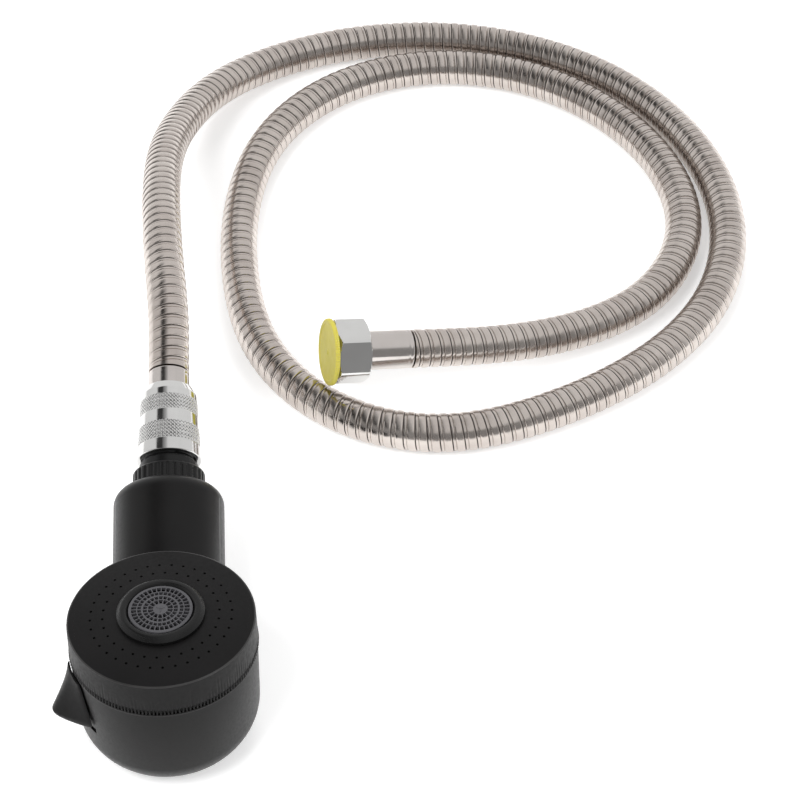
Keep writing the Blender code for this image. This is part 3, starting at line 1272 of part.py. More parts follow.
def make_tap_fitting():
    """Ferrule, insert, washer, hexagon nut and plug-in cap at the hose's far end."""
    ferrule("tap_ferrule", GAP, TAP_FERRULE_END, TAP_AXIS)
    flange_end = TAP_BARB_FLANGE_START + BARB_FLANGE
    barb("tap_barb", flange_end, TAP_BARB_FLANGE_START, -BARB_IN_HOSE, TAP_AXIS)
    washer("tap_washer", TAP_WASHER_START, TAP_AXIS)

    corner = TAP_NUT_FLATS / 2 / math.cos(math.pi / HEXAGON)
    nut = turned(
        "tap_nut",
        slab(0.0, corner, TAP_NUT_START, TAP_NUT_STOP),
        TAP_AXIS,
        CHROME,
        sides=HEXAGON,
    )
    nut.rotation_euler.z = TAP_NUT_TURN
    bore = turned(
        "tap_nut_bore",
        [
            (0.0, TAP_NUT_START - THROUGH),
            (FERRULE_HOLE, TAP_NUT_START - THROUGH),
            (FERRULE_HOLE, TAP_NUT_FLOOR),
            (THREAD_RADIUS, TAP_NUT_FLOOR),
            (THREAD_RADIUS, TAP_NUT_STOP + THROUGH),
            (0.0, TAP_NUT_STOP + THROUGH),
        ],
        TAP_AXIS,
    )
    cut(nut, bore)
    outside = corner + THROUGH
    inside = corner - TAP_NUT_CHAMFER
    for end, toward in ((TAP_NUT_START, 1.0), (TAP_NUT_STOP, -1.0)):
        slope = TAP_NUT_CHAMFER / (corner - inside) / 2
        chamfer = turned(
            "nut_chamfer_%d" % (toward > 0),
            [
                (inside, end - toward * THROUGH),
                (outside, end - toward * THROUGH),
                (outside, end + toward * slope * (outside - inside)),
                (inside, end),
            ],
            TAP_AXIS,
            sides=CHAMFER_SIDES,
        )
        cut(nut, chamfer)

    plug_start = CAP_FLANGE_START - CAP_PLUG_LENGTH
    flange_end = CAP_FLANGE_START + CAP_FLANGE
    plug_bore = CAP_PLUG_RADIUS - CAP_PLUG_WALL
    turned(
        "protective_cap",
        [
            (0.0, CAP_FLANGE_START),
            (plug_bore, CAP_FLANGE_START),
            (plug_bore, plug_start),
            (CAP_PLUG_RADIUS, plug_start),
            (CAP_PLUG_RADIUS, CAP_FLANGE_START),
            (CAP_FLANGE_RADIUS - CAP_FLANGE_EDGE, CAP_FLANGE_START),
            (CAP_FLANGE_RADIUS, CAP_FLANGE_START + CAP_FLANGE_EDGE),
            (CAP_FLANGE_RADIUS, flange_end - CAP_FLANGE_EDGE),
            (CAP_FLANGE_RADIUS - CAP_FLANGE_EDGE, flange_end),
            (0.0, flange_end),
        ],
        TAP_AXIS,
        YELLOW_PLASTIC,
        INNER_SIDES,
    )


def smooth_curve(points, first_direction, last_direction):
    """A cubic spline through the points, with given directions at its ends, as many short chords."""
    places = np.array([tuple(point) for point in points])
    chords = np.linalg.norm(np.diff(places, axis=0), axis=1)
    count = len(places)
    system = np.zeros((count, count))
    wanted = np.zeros((count, 3))
    system[0, 0] = system[-1, -1] = 1.0
    wanted[0], wanted[-1] = first_direction, last_direction
    for index in range(1, count - 1):
        before, after = chords[index - 1], chords[index]
        system[index, index - 1 : index + 2] = after, 2 * (before + after), before
        rise = (places[index] - places[index - 1]) / before * after
        fall = (places[index + 1] - places[index]) / after * before
        wanted[index] = 3 * (rise + fall)
    slopes = np.linalg.solve(system, wanted)
    share = np.arange(ROUTE_SAMPLES)[:, None] / ROUTE_SAMPLES
    curve = []
    for index, chord in enumerate(chords):
        start, stop = places[index], places[index + 1]
        leave, arrive = slopes[index] * chord, slopes[index + 1] * chord
        curve.append(
            start * (1 + 2 * share) * (1 - share) ** 2
            + leave * share * (1 - share) ** 2
            + stop * share**2 * (3 - 2 * share)
            + arrive * share**2 * (share - 1)
        )
    return np.vstack(curve + [places[-1:]])


def hose_route():
    """The hose's middle line: straight for one diameter at each end, smooth between."""
    leave = NECK_PLACE.to_3x3() @ Vector((0.0, 0.0, 1.0))
    start = NECK_PLACE @ Vector((0.0, 0.0, HOSE_START))
    straight = 2 * HOSE_RADIUS
    points = [start + leave * straight] + HOSE_ROUTE + [TAP_POINT - TAP_DIRECTION * straight]
    middle = smooth_curve(points, tuple(leave), tuple(TAP_DIRECTION))
    return np.vstack([[tuple(start)], middle, [tuple(TAP_POINT)]])


def along(route, distances):
    """Points at the given distances along a dense route."""
    steps = np.linalg.norm(np.diff(route, axis=0), axis=1)
    reached = np.concatenate([[0.0], np.cumsum(steps)])
    return np.stack([np.interp(distances, reached, route[:, axis]) for axis in range(3)], axis=1)


def route_length(route):
    return np.linalg.norm(np.diff(route, axis=0), axis=1).sum()


def report_hose(route):
    """Prints the hose's length, its tightest bend and the least air between its turns."""
    length = route_length(route)
    count = int(length / (HOSE_RADIUS / 2))
    points = along(route, np.linspace(0.0, length, count))
    gaps = np.linalg.norm(points[:, None] - points[None], axis=2)
    apart = np.abs(np.arange(count)[:, None] - np.arange(count)[None]) * length / count
    gaps[apart < 6 * HOSE_RADIUS] = np.inf
    legs = points[BEND_STEPS:] - points[:-BEND_STEPS]
    legs /= np.linalg.norm(legs, axis=1)[:, None]
    turns = np.arccos(np.clip((legs[BEND_STEPS:] * legs[:-BEND_STEPS]).sum(axis=1), -1.0, 1.0))
    tightest = BEND_STEPS * length / count / turns.max()
    print(
        "hose: length %.1f mm, tightest bend %.1f mm, least air between turns %.2f mm, lowest middle %.2f mm"
        % (length / MM, tightest / MM, (gaps.min() - 2 * HOSE_RADIUS) / MM, points[:, 2].min() / MM)
    )


def tube(name, points, radius, shares, sides):
    """A bmesh of a round tube along the points. Each point's share scales the radius there."""
    data = bpy.data.curves.new(name, "CURVE")
    data.dimensions = "3D"
    data.bevel_depth = radius
    data.bevel_resolution = sides // 2 - 2
    data.use_fill_caps = True
    data.twist_mode = "MINIMUM"
    spline = data.splines.new("POLY")
    spline.points.add(len(points) - 1)
    for point, place, share in zip(spline.points, points, shares):
        point.co = (*place, 1.0)
        point.radius = share
    guide = helper(bpy.data.objects.new(name + "_line", data))
    bpy.context.scene.collection.objects.link(guide)
    bpy.context.view_layer.update()
    mesh = bpy.data.meshes.new_from_object(guide.evaluated_get(bpy.context.evaluated_depsgraph_get()))
    bpy.data.objects.remove(guide, do_unlink=True)
    bm = bmesh.new()
    bm.from_mesh(mesh)
    bpy.data.meshes.remove(mesh)
    bmesh.ops.remove_doubles(bm, verts=bm.verts, dist=WELD)
    return bm


def make_hose():
    """The ribbed steel hose with its bore, and the rubber tube inside it."""
    route = hose_route()
    report_hose(route)
    length = route_length(route)
    ribs = np.linspace(0.0, length, 2 * HOSE_RIBS)
    shares = np.where(np.arange(2 * HOSE_RIBS) % 2, 1.0 - HOSE_RIB_DEPTH / HOSE_RADIUS, 1.0)
    armour = solid(
        "hose_armour",
        tube("armour", along(route, ribs), HOSE_RADIUS, shares, HOSE_SIDES),
        finish=STEEL,
    )
    leave = NECK_PLACE.to_3x3() @ Vector((0.0, 0.0, 1.0))
    past = Vector(tuple(leave)) * THROUGH
    middle = along(route, np.linspace(0.0, length, HOSE_BORE_POINTS))
    ends = np.array([tuple(Vector(middle[0]) - past), tuple(Vector(middle[-1]) + TAP_DIRECTION * THROUGH)])
    bore_points = np.vstack([ends[:1], middle[1:-1], ends[1:]])
    plain = np.ones(HOSE_BORE_POINTS)
    bore = solid("hose_bore", tube("bore", bore_points, HOSE_BORE, plain, HOSE_SIDES))
    cut(armour, bore)

    near = NECK_PLACE @ Vector((0.0, 0.0, HANDSET_FERRULE_START))
    far = TAP_POINT + TAP_DIRECTION * TAP_FERRULE_END
    liner_points = np.vstack([[tuple(near)], middle[1:-1], [tuple(far)]])
    liner = solid(
        "hose_liner", tube("liner", liner_points, LINER_RADIUS, plain, LINER_SIDES), finish=RUBBER
    )
    ends = np.array([tuple(near - past), tuple(far + TAP_DIRECTION * THROUGH)])
    bore_points = np.vstack([ends[:1], middle[1:-1], ends[1:]])
    cut(liner, solid("liner_bore", tube("liner_hole", bore_points, LINER_BORE, plain, LINER_SIDES)))


make_body()
make_front_cap()
make_outlet()
make_divider()
make_valve_block()
make_screws()
make_diverter()
make_lever()
make_inlet()
make_handset_fitting()
make_tap_fitting()
make_hose()
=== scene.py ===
"""The looks of the handheld bath sprayer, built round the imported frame, in metres."""
import math

import bmesh
import bpy
import numpy as np
from mathutils import Matrix, Vector


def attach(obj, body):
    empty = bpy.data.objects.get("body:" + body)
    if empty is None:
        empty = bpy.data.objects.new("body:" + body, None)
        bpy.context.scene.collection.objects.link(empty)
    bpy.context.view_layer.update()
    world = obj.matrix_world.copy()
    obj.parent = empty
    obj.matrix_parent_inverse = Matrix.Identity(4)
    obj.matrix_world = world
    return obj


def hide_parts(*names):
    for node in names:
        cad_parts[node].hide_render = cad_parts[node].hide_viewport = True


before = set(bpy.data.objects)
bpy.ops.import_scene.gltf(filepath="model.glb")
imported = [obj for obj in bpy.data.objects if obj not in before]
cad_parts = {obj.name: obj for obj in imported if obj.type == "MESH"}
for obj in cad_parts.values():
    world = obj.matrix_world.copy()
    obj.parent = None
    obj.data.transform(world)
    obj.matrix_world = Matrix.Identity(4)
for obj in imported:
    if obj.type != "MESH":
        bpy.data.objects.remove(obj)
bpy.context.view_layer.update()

MM = 0.001

# The frames that carry the pieces, as in the CAD source.
HEAD_BASE = 14.0 * MM
HEAD_TILT = math.radians(7.0)
NECK_RISE = math.radians(15.0)
HEAD = Matrix.Translation((0, 0, HEAD_BASE)) @ Matrix.Rotation(-HEAD_TILT, 4, "X")
NECK = Matrix.Translation((0, 0, HEAD_BASE)) @ Matrix.Rotation(NECK_RISE - math.pi / 2, 4, "X")
LEVER_TURN = math.radians(200.0)
PIN_OUT, PIN_UP = 25.0 * MM, 6.0 * MM
LEVER = HEAD @ Matrix.Rotation(LEVER_TURN, 4, "Z") @ Matrix.Translation((PIN_OUT, 0, PIN_UP))
TAP_POINT = Vector((96.0, 160.3, 22.0)) * MM
TAP_YAW, TAP_RISE = math.radians(191.0), math.radians(11.0)
TAP_DIRECTION = Vector(
    (math.cos(TAP_YAW) * math.cos(TAP_RISE), math.sin(TAP_YAW) * math.cos(TAP_RISE), math.sin(TAP_RISE))
)
TAP = Matrix.Translation(TAP_POINT) @ TAP_DIRECTION.to_track_quat("Z", "Y").to_matrix().to_4x4()

# The stage: the camera as fitted to the photograph, the floor and the lamps.
CAMERA_PLACE = (0.06065, -0.4961, 0.7208)
CAMERA_TILT, CAMERA_TURN = math.radians(42.0), math.radians(-2.7)
CAMERA_LENS, CAMERA_SENSOR, CAMERA_NEAR = 105.75, 36.0, 0.01
FLOOR_REACH, FLOOR_DROP = 12.0, 0.05 * MM
FLOOR_WHITE, FLOOR_GLOW = 0.86, 0.4
LAMPS = (  # name, place, target, size across and power in watts
    ("key", (-0.55, -0.35, 1.15), (0.06, 0.12, 0.0), 0.7, 11.0),
    ("fill", (1.0, -0.5, 0.9), (0.08, 0.15, 0.0), 0.9, 6.0),
    ("back", (0.2, 1.3, 0.9), (0.1, 0.1, 0.0), 0.8, 6.0),
)

# The room: how it lights the surfaces, and the greys that reflections meet, as places on a ramp.
ROOM_LIGHT = 0.5
OVERHEAD_GREYS = (  # from left to right
    (0.0, 0.78), (0.19, 0.8), (0.225, 0.05), (0.345, 0.04), (0.37, 0.2),
    (0.46, 0.5), (0.5, 0.82), (0.75, 0.85), (1.0, 0.7),
)
AROUND_GREYS = ((0.0, 0.3), (0.22, 0.32), (0.36, 0.5), (0.5, 0.8), (1.0, 0.88))  # from front to back
OVERHEAD_SHARES = ((0.0, 0.0), (0.66, 0.0), (0.76, 1.0), (1.0, 1.0))  # by the height of the direction


# Camera, floor and light.
def placed(name, data):
    """A new object in the scene."""
    made = bpy.data.objects.new(name, data)
    bpy.context.scene.collection.objects.link(made)
    return made


def added(tree, kind):
    return tree.nodes.new("ShaderNode" + kind)


def make_stage():
    scene = bpy.context.scene
    scene.view_settings.view_transform = "Standard"
    camera = placed("camera", bpy.data.cameras.new("camera"))
    camera.location = CAMERA_PLACE
    camera.rotation_euler = (CAMERA_TILT, 0.0, CAMERA_TURN)
    camera.data.lens = CAMERA_LENS
    camera.data.sensor_width = CAMERA_SENSOR
    camera.data.clip_start = CAMERA_NEAR
    scene.camera = camera

    floor = placed("floor", bpy.data.meshes.new("floor"))
    quarters = ((-1, -1), (1, -1), (1, 1), (-1, 1))
    corners = [(x * FLOOR_REACH, y * FLOOR_REACH, -FLOOR_DROP) for x, y in quarters]
    floor.data.from_pydata(corners, [], [(0, 1, 2, 3)])
    floor.data.materials.append(floor_material())
    make_world()
    for lamp in LAMPS:
        area_light(*lamp)


def area_light(name, place, target, size, power):
    """A soft round lamp that reflections don't show."""
    data = bpy.data.lights.new(name, "AREA")
    data.shape = "DISK"
    data.size = size
    data.energy = power
    lamp = placed(name, data)
    lamp.location = place
    lamp.visible_glossy = False
    lamp.rotation_euler = (Vector(target) - Vector(place)).to_track_quat("-Z", "Y").to_euler()


def floor_material():
    """A pale floor that glows a little to the camera and to reflections, and keeps its shadows."""
    made, tree, shader = principled("floor_white", (FLOOR_WHITE,) * 3, 0.9)
    shader.inputs["Specular IOR Level"].default_value = 0.0
    output = tree.nodes["Material Output"]
    path = added(tree, "LightPath")
    seen = added(tree, "Math")
    seen.operation = "MAXIMUM"
    tree.links.new(path.outputs["Is Camera Ray"], seen.inputs[0])
    tree.links.new(path.outputs["Is Glossy Ray"], seen.inputs[1])
    glow = added(tree, "Emission")
    glow.inputs["Color"].default_value = (1, 1, 1, 1)
    strength = added(tree, "Math")
    strength.operation = "MULTIPLY"
    strength.inputs[1].default_value = FLOOR_GLOW
    tree.links.new(seen.outputs[0], strength.inputs[0])
    tree.links.new(strength.outputs[0], glow.inputs["Strength"])
    add = added(tree, "AddShader")
    tree.links.new(shader.outputs[0], add.inputs[0])
    tree.links.new(glow.outputs[0], add.inputs[1])
    tree.links.new(add.outputs[0], output.inputs["Surface"])
    return made


def make_world():
    """White to the camera, even to the surfaces, and a room of bright and dark areas to reflections."""
    world = bpy.data.worlds.new("studio")
    bpy.context.scene.world = world
    world.use_nodes = True
    tree = world.node_tree
    plain = tree.nodes["Background"]
    plain.inputs["Color"].default_value = (1, 1, 1, 1)
    plain.inputs["Strength"].default_value = ROOM_LIGHT
    white = added(tree, "Background")
    white.inputs["Strength"].default_value = 1.0
    shown = added(tree, "Background")
    place = added(tree, "TexCoord")
    split = added(tree, "SeparateXYZ")
    tree.links.new(place.outputs["Generated"], split.inputs[0])
    overhead = grey_ramp(tree, half_scaled(tree, split.outputs["X"]), OVERHEAD_GREYS)
    around = grey_ramp(tree, half_scaled(tree, split.outputs["Y"]), AROUND_GREYS)
    upper = grey_ramp(tree, split.outputs["Z"], OVERHEAD_SHARES)
    tree.links.new(mix_of(tree, upper, around, overhead), shown.inputs["Color"])
    path = added(tree, "LightPath")
    glossy = added(tree, "MixShader")
    tree.links.new(path.outputs["Is Glossy Ray"], glossy.inputs[0])
    tree.links.new(plain.outputs[0], glossy.inputs[1])
    tree.links.new(shown.outputs[0], glossy.inputs[2])
    camera = added(tree, "MixShader")
    tree.links.new(path.outputs["Is Camera Ray"], camera.inputs[0])
    tree.links.new(glossy.outputs[0], camera.inputs[1])
    tree.links.new(white.outputs[0], camera.inputs[2])
    tree.links.new(camera.outputs[0], tree.nodes["World Output"].inputs["Surface"])


def half_scaled(tree, source):
    """A number between -1 and 1 as one between 0 and 1."""
    spread = added(tree, "MapRange")
    spread.inputs["From Min"].default_value = -1.0
    tree.links.new(source, spread.inputs["Value"])
    return spread.outputs["Result"]


def mix_of(tree, share, first, second):
    mixed = added(tree, "Mix")
    mixed.data_type = "RGBA"
    tree.links.new(share, mixed.inputs["Factor"])
    tree.links.new(first, mixed.inputs["A"])
    tree.links.new(second, mixed.inputs["B"])
    return mixed.outputs["Result"]


def grey_ramp(tree, source, stops):
    ramp = added(tree, "ValToRGB")
    elements = ramp.color_ramp.elements
    while len(elements) < len(stops):
        elements.new(1.0)
    for element, (position, value) in zip(elements, stops):
        element.position = position
        element.color = (value, value, value, 1)
    tree.links.new(source, ramp.inputs[0])
    return ramp.outputs[0]


# Materials.
FINISHES = {  # name, two colours, least and most roughness, the grain's scale, its depth in mm, metallic
    "shell": ("shell_black", (0.0047, 0.0045, 0.0046), (0.0064, 0.006, 0.006), (0.32, 0.42), 2600, 0.006),
    # edge: a lighter black with more sheen for the rounded top edges of drum and cap, a painted highlight
    "edge": ("worn_black", (0.02, 0.0195, 0.0195), (0.038, 0.037, 0.037), (0.3, 0.4), 1500, 0.004),
    "cap": ("cap_black", (0.005, 0.0048, 0.0049), (0.0068, 0.0064, 0.0066), (0.4, 0.52), 2200, 0.01),
    "gloss": ("gloss_black", (0.005, 0.005, 0.0052), (0.0068, 0.0067, 0.0068), (0.26, 0.34), 1400, 0.0008),
    "grey": ("grille_grey", (0.052, 0.051, 0.056), (0.075, 0.074, 0.08), (0.34, 0.46), 1500, 0.003),
    "white": ("inner_white", (0.7, 0.7, 0.68), (0.76, 0.76, 0.74), (0.35, 0.45), 1200, 0.01),
    "dark": ("cartridge_dark", (0.004, 0.004, 0.004), (0.007, 0.007, 0.007), (0.5, 0.6), 1200, 0.01),
    "rubber": ("seal_rubber", (0.012, 0.012, 0.012), (0.018, 0.018, 0.018), (0.6, 0.75), 1600, 0.02),
    "chrome": ("bright_chrome", (0.66, 0.655, 0.645), (0.73, 0.725, 0.715), (0.07, 0.14), 700, 0.003, 1.0),
    # groove: darker, rougher chrome for the faces deep in the knurl's grooves, painted shade in the recesses
    "groove": ("knurl_groove", (0.1, 0.1, 0.1), (0.2, 0.2, 0.2), (0.2, 0.3), 700, 0.003, 1.0),
    "ferrule": ("ferrule_steel", (0.57, 0.53, 0.505), (0.64, 0.6, 0.575), (0.12, 0.19), 500, 0.006, 1.0),
    "steel": ("strip_steel", (0.52, 0.465, 0.43), (0.64, 0.585, 0.545), (0.17, 0.27), 650, 0.012, 1.0),
    "seam": ("strip_seam", (0.05, 0.042, 0.038), (0.085, 0.072, 0.065), (0.5, 0.65), 900, 0.01, 0.6),
    "screw": ("screw_steel", (0.5, 0.49, 0.48), (0.58, 0.57, 0.56), (0.25, 0.35), 900, 0.01, 1.0),
    "brass": ("turned_brass", (0.66, 0.49, 0.21), (0.74, 0.57, 0.27), (0.22, 0.32), 900, 0.01, 1.0),
    "yellow": ("plug_yellow", (0.55, 0.485, 0.075), (0.64, 0.57, 0.095), (0.3, 0.42), 900, 0.02),
}
SPECULAR_LEVELS = {"shell": 0.21, "cap": 0.16, "gloss": 0.28, "grey": 0.35, "dark": 0.2, "edge": 0.4}
CLOUD_SCALE = 60.0  # of the slow change of colour
MATERIALS = {}


def principled(name, colour, roughness, metallic=0.0):
    made = bpy.data.materials.new(name)
    made.use_nodes = True
    tree = made.node_tree
    shader = tree.nodes["Principled BSDF"]
    shader.inputs["Base Color"].default_value = (*colour, 1.0)
    shader.inputs["Roughness"].default_value = roughness
    shader.inputs["Metallic"].default_value = metallic
    made.diffuse_color = (*colour, 1.0)
    return made, tree, shader


def noise(tree, scale, detail=3.0, roughness=0.55):
    place = added(tree, "TexCoord")
    texture = added(tree, "TexNoise")
    texture.inputs["Scale"].default_value = scale
    texture.inputs["Detail"].default_value = detail
    texture.inputs["Roughness"].default_value = roughness
    tree.links.new(place.outputs["Object"], texture.inputs["Vector"])
    return texture.outputs["Fac"]


def ranged(tree, source, low, high, start=0.35, stop=0.65):
    spread = added(tree, "MapRange")
    spread.inputs["From Min"].default_value = start
    spread.inputs["From Max"].default_value = stop
    spread.inputs["To Min"].default_value = low
    spread.inputs["To Max"].default_value = high
    tree.links.new(source, spread.inputs["Value"])
    return spread.outputs["Result"]


def tinted(tree, source, first, second, start=0.3, stop=0.7):
    ramp = added(tree, "ValToRGB")
    ramp.color_ramp.elements[0].position = start
    ramp.color_ramp.elements[0].color = (*first, 1)
    ramp.color_ramp.elements[1].position = stop
    ramp.color_ramp.elements[1].color = (*second, 1)
    tree.links.new(source, ramp.inputs[0])
    return ramp.outputs[0]


def bumped(tree, shader, source, distance):
    bump = added(tree, "Bump")
    bump.inputs["Distance"].default_value = distance
    bump.inputs["Strength"].default_value = 1.0
    tree.links.new(source, bump.inputs["Height"])
    tree.links.new(bump.outputs[0], shader.inputs["Normal"])


def finish_of(name, first, second, rough, scale, grain, metallic=0.0):
    """A material whose colour, gloss and fine grain vary. The grain's depth is in millimetres."""
    middle = tuple((a + b) / 2 for a, b in zip(first, second))
    made, tree, shader = principled(name, middle, sum(rough) / 2, metallic)
    tree.links.new(tinted(tree, noise(tree, CLOUD_SCALE), first, second), shader.inputs["Base Color"])
    smudges = noise(tree, scale / 3, detail=4.0)
    tree.links.new(ranged(tree, smudges, *rough), shader.inputs["Roughness"])
    bumped(tree, shader, noise(tree, scale, detail=2.0, roughness=0.5), grain * MM)
    return made


def make_materials():
    for key, values in FINISHES.items():
        MATERIALS[key] = finish_of(*values)
    for key, level in SPECULAR_LEVELS.items():
        inputs_of(key)["Specular IOR Level"].default_value = level
    yellow = inputs_of("yellow")
    yellow["Subsurface Weight"].default_value = 0.35
    yellow["Subsurface Radius"].default_value = (2.2 * MM, 1.8 * MM, 0.4 * MM)
    yellow["Subsurface Scale"].default_value = 1.0


def inputs_of(key):
    return MATERIALS[key].node_tree.nodes["Principled BSDF"].inputs


# Mesh helpers.
WELD_REACH, SHORTEST_EDGE = 0.0005 * MM, 0.0002 * MM
AXIS_REACH = 1e-9
STRAIGHT = 0.05  # radians within which a corner counts as straight or folded back
FILLET_SHARE = 0.45  # of the shorter edge at a corner, at most


def link(name, mesh, body, finish, slot, *nodes):
    mesh.name = name
    piece = placed(name, mesh)
    if not mesh.materials:
        mesh.materials.append(MATERIALS[finish])
    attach(piece, body)
    if nodes:
        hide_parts(*nodes)
    return piece


def quads(rows, columns, wrap_rows):
    """Faces of a grid of points that closes along each row, as four indices each."""
    index = np.arange(rows * columns).reshape(rows, columns)
    below, above = (index, np.roll(index, -1, 0)) if wrap_rows else (index[:-1], index[1:])
    corners = [below, np.roll(below, -1, 1), np.roll(above, -1, 1), above]
    return np.stack(corners, axis=-1).reshape(-1, 4)


def mesh_of(name, points, faces, sharp=30.0, weld=False, place=None):
    """A smooth mesh whose faces turn outwards."""
    mesh = bpy.data.meshes.new(name)
    points = np.asarray(points, float).reshape(-1, 3)
    mesh.from_pydata(points.tolist(), [], [list(face) for face in faces])
    if place is not None:
        mesh.transform(place)
    if weld:
        bm = bmesh.new()
        bm.from_mesh(mesh)
        bmesh.ops.remove_doubles(bm, verts=bm.verts, dist=WELD_REACH)
        bmesh.ops.dissolve_degenerate(bm, edges=bm.edges, dist=SHORTEST_EDGE)
        bm.to_mesh(mesh)
        bm.free()
    smoothed(mesh, sharp)
    return mesh


def smoothed(mesh, sharp):
    """Turns the faces outwards and shades them smooth between edges sharper than an angle in degrees."""
    if volume_of(mesh) < 0:
        mesh.flip_normals()
    mesh.shade_smooth()
    mesh.set_sharp_from_angle(angle=math.radians(sharp))


def volume_of(mesh):
    """Six times the volume, below zero where the faces turn inwards."""
    mesh.calc_loop_triangles()
    points = np.empty(len(mesh.vertices) * 3)
    mesh.vertices.foreach_get("co", points)
    corners = np.empty(len(mesh.loop_triangles) * 3, int)
    mesh.loop_triangles.foreach_get("vertices", corners)
    a, b, c = points.reshape(-1, 3)[corners.reshape(-1, 3)].transpose(1, 0, 2)
    return (a * np.cross(b, c)).sum()


def arc_cosine(value):
    return math.acos(max(-1.0, min(1.0, float(value))))


def filleted(corners, radius, steps=4):
    """The closed (radius, height) outline with rounded corners; a third number is a corner's own radius."""
    out = []
    count = len(corners)
    for index, corner in enumerate(corners):
        here = np.array(corner[:2], float)
        before = np.array(corners[index - 1][:2], float) - here
        after = np.array(corners[(index + 1) % count][:2], float) - here
        size = corner[2] if len(corner) > 2 else radius
        long_before, long_after = np.linalg.norm(before), np.linalg.norm(after)
        before, after = before / long_before, after / long_after
        angle = arc_cosine(before @ after)
        if size <= 0 or here[0] <= 0 or angle > math.pi - STRAIGHT or angle < STRAIGHT:
            out.append(tuple(here))
            continue
        size = min(size, FILLET_SHARE * min(long_before, long_after) * math.tan(angle / 2))
        reach = size / math.tan(angle / 2)
        middle = (before + after) / np.linalg.norm(before + after)
        centre = here + middle * size / math.sin(angle / 2)
        first = here + before * reach - centre
        last = here + after * reach - centre
        sweep = arc_cosine(first @ last / size**2)
        for step in range(steps + 1):
            share = step / steps
            mixed = first * math.sin((1 - share) * sweep) + last * math.sin(share * sweep)
            out.append(tuple(centre + mixed / math.sin(sweep)))
    return out


def dense(outline, longest, divides=None):
    """The closed outline with its long edges divided, or only those whose ends pass a test."""
    out = []
    for index, point in enumerate(outline):
        start, stop = np.array(point), np.array(outline[(index + 1) % len(outline)])
        count = max(1, int(math.ceil(np.linalg.norm(stop - start) / longest)))
        if divides is not None and not divides(start, stop):
            count = 1
        out += [tuple(start + (stop - start) * k / count) for k in range(count)]
    return out


def spun(name, outline, place, segments=128, shape=None, sharp=30.0):
    """An outline turned round Z. Shape gives what to add to each point's radius, or to it and its height."""
    outline = np.array(outline)
    angles = np.arange(segments) * math.tau / segments
    radius = np.repeat(outline[:, :1], segments, 1)
    height = np.repeat(outline[:, 1:], segments, 1)
    angle = np.repeat(angles[None], len(outline), 0)
    if shape is not None:
        change = shape(angle, radius, height)
        out, up = change if isinstance(change, tuple) else (change, 0.0)
        radius, height = np.maximum(radius + out, 0.0), height + up
    points = np.stack([radius * np.cos(angle), radius * np.sin(angle), height], -1)
    on_axis = outline[:, 0] < AXIS_REACH
    along_axis = on_axis & np.roll(on_axis, -1)
    faces = quads(len(outline), segments, True)[~np.repeat(along_axis, segments)]
    return mesh_of(name, points, faces, sharp, bool(on_axis.any()), place)


def lofted(name, rings, sharp=30.0):
    """A closed mesh through rings of points, with a flat face at each end."""
    points = np.array([[tuple(point) for point in ring] for ring in rings])
    rows, columns = points.shape[:2]
    faces = quads(rows, columns, False).tolist()
    faces.append(list(range(columns)))
    faces.append([(rows - 1) * columns + k for k in range(columns)])
    return mesh_of(name, points, faces, sharp)


def combined(mesh, unions, cuts, sharp=30.0):
    """The mesh with the first meshes joined to it and the others cut away, and its edges marked again."""
    base = placed("base", mesh)
    tools = []
    for operation, others in (("UNION", unions), ("DIFFERENCE", cuts)):
        for other in others:
            tools.append(placed("tool", other))
            modifier = base.modifiers.new("step", "BOOLEAN")
            modifier.operation = operation
            modifier.object = tools[-1]
    bpy.context.view_layer.update()
    made = bpy.data.meshes.new_from_object(base.evaluated_get(bpy.context.evaluated_depsgraph_get()))
    for tool in tools + [base]:
        bpy.data.objects.remove(tool, do_unlink=True)
    made.shade_smooth()
    made.set_sharp_from_angle(angle=math.radians(sharp))
    return made


def box_mesh(low, high, place):
    low, high = Vector(low), Vector(high)
    bm = bmesh.new()
    bmesh.ops.create_cube(bm, size=1.0)
    bmesh.ops.scale(bm, verts=bm.verts, vec=high - low)
    bmesh.ops.translate(bm, verts=bm.verts, vec=(low + high) / 2)
    mesh = bpy.data.meshes.new("box")
    bm.to_mesh(mesh)
    bm.free()
    mesh.transform(place)
    return mesh


def rod_mesh(radius, pairs, place, sides=32):
    """Rods between pairs of points, in one mesh."""
    bm = bmesh.new()
    for start, end in pairs:
        start, end = Vector(start), Vector(end)
        along = end - start
        turn = along.to_track_quat("Z", "X").to_matrix().to_4x4()
        middle = Matrix.Translation((start + end) / 2)
        size = {"radius1": radius, "radius2": radius, "depth": along.length}
        bmesh.ops.create_cone(bm, cap_ends=True, segments=sides, matrix=middle @ turn, **size)
    mesh = bpy.data.meshes.new("rods")
    bm.to_mesh(mesh)
    bm.free()
    mesh.transform(place)
    return mesh


def lever_box(low, high):
    """A box in the lever's frame between two corners in millimetres."""
    return box_mesh([value * MM for value in low], [value * MM for value in high], LEVER)


def lever_rod(radius, half):
    """A rod along the lever's pin."""
    return rod_mesh(radius, [((0, -half, 0), (0, half, 0))], LEVER)


def marked(mesh, place, finish, other, test):
    """Gives the faces that pass a test of their radius and height in a frame the other finish."""
    count = len(mesh.polygons)
    centres = np.empty(count * 3)
    mesh.polygons.foreach_get("center", centres)
    turned_back = np.array(place.inverted())
    local = centres.reshape(-1, 3) @ turned_back[:3, :3].T + turned_back[:3, 3]
    passed = test(np.hypot(local[:, 0], local[:, 1]), local[:, 2])
    mesh.materials.clear()
    mesh.materials.append(MATERIALS[finish])
    mesh.materials.append(MATERIALS[other])
    mesh.polygons.foreach_set("material_index", passed.astype(np.int32))


def polar(radius, angle, height=0.0):
    return Vector((radius * math.cos(angle), radius * math.sin(angle), height))


def smooth_step(value, low, high):
    share = np.clip((value - low) / (high - low), 0.0, 1.0)
    return share * share * (3 - 2 * share)


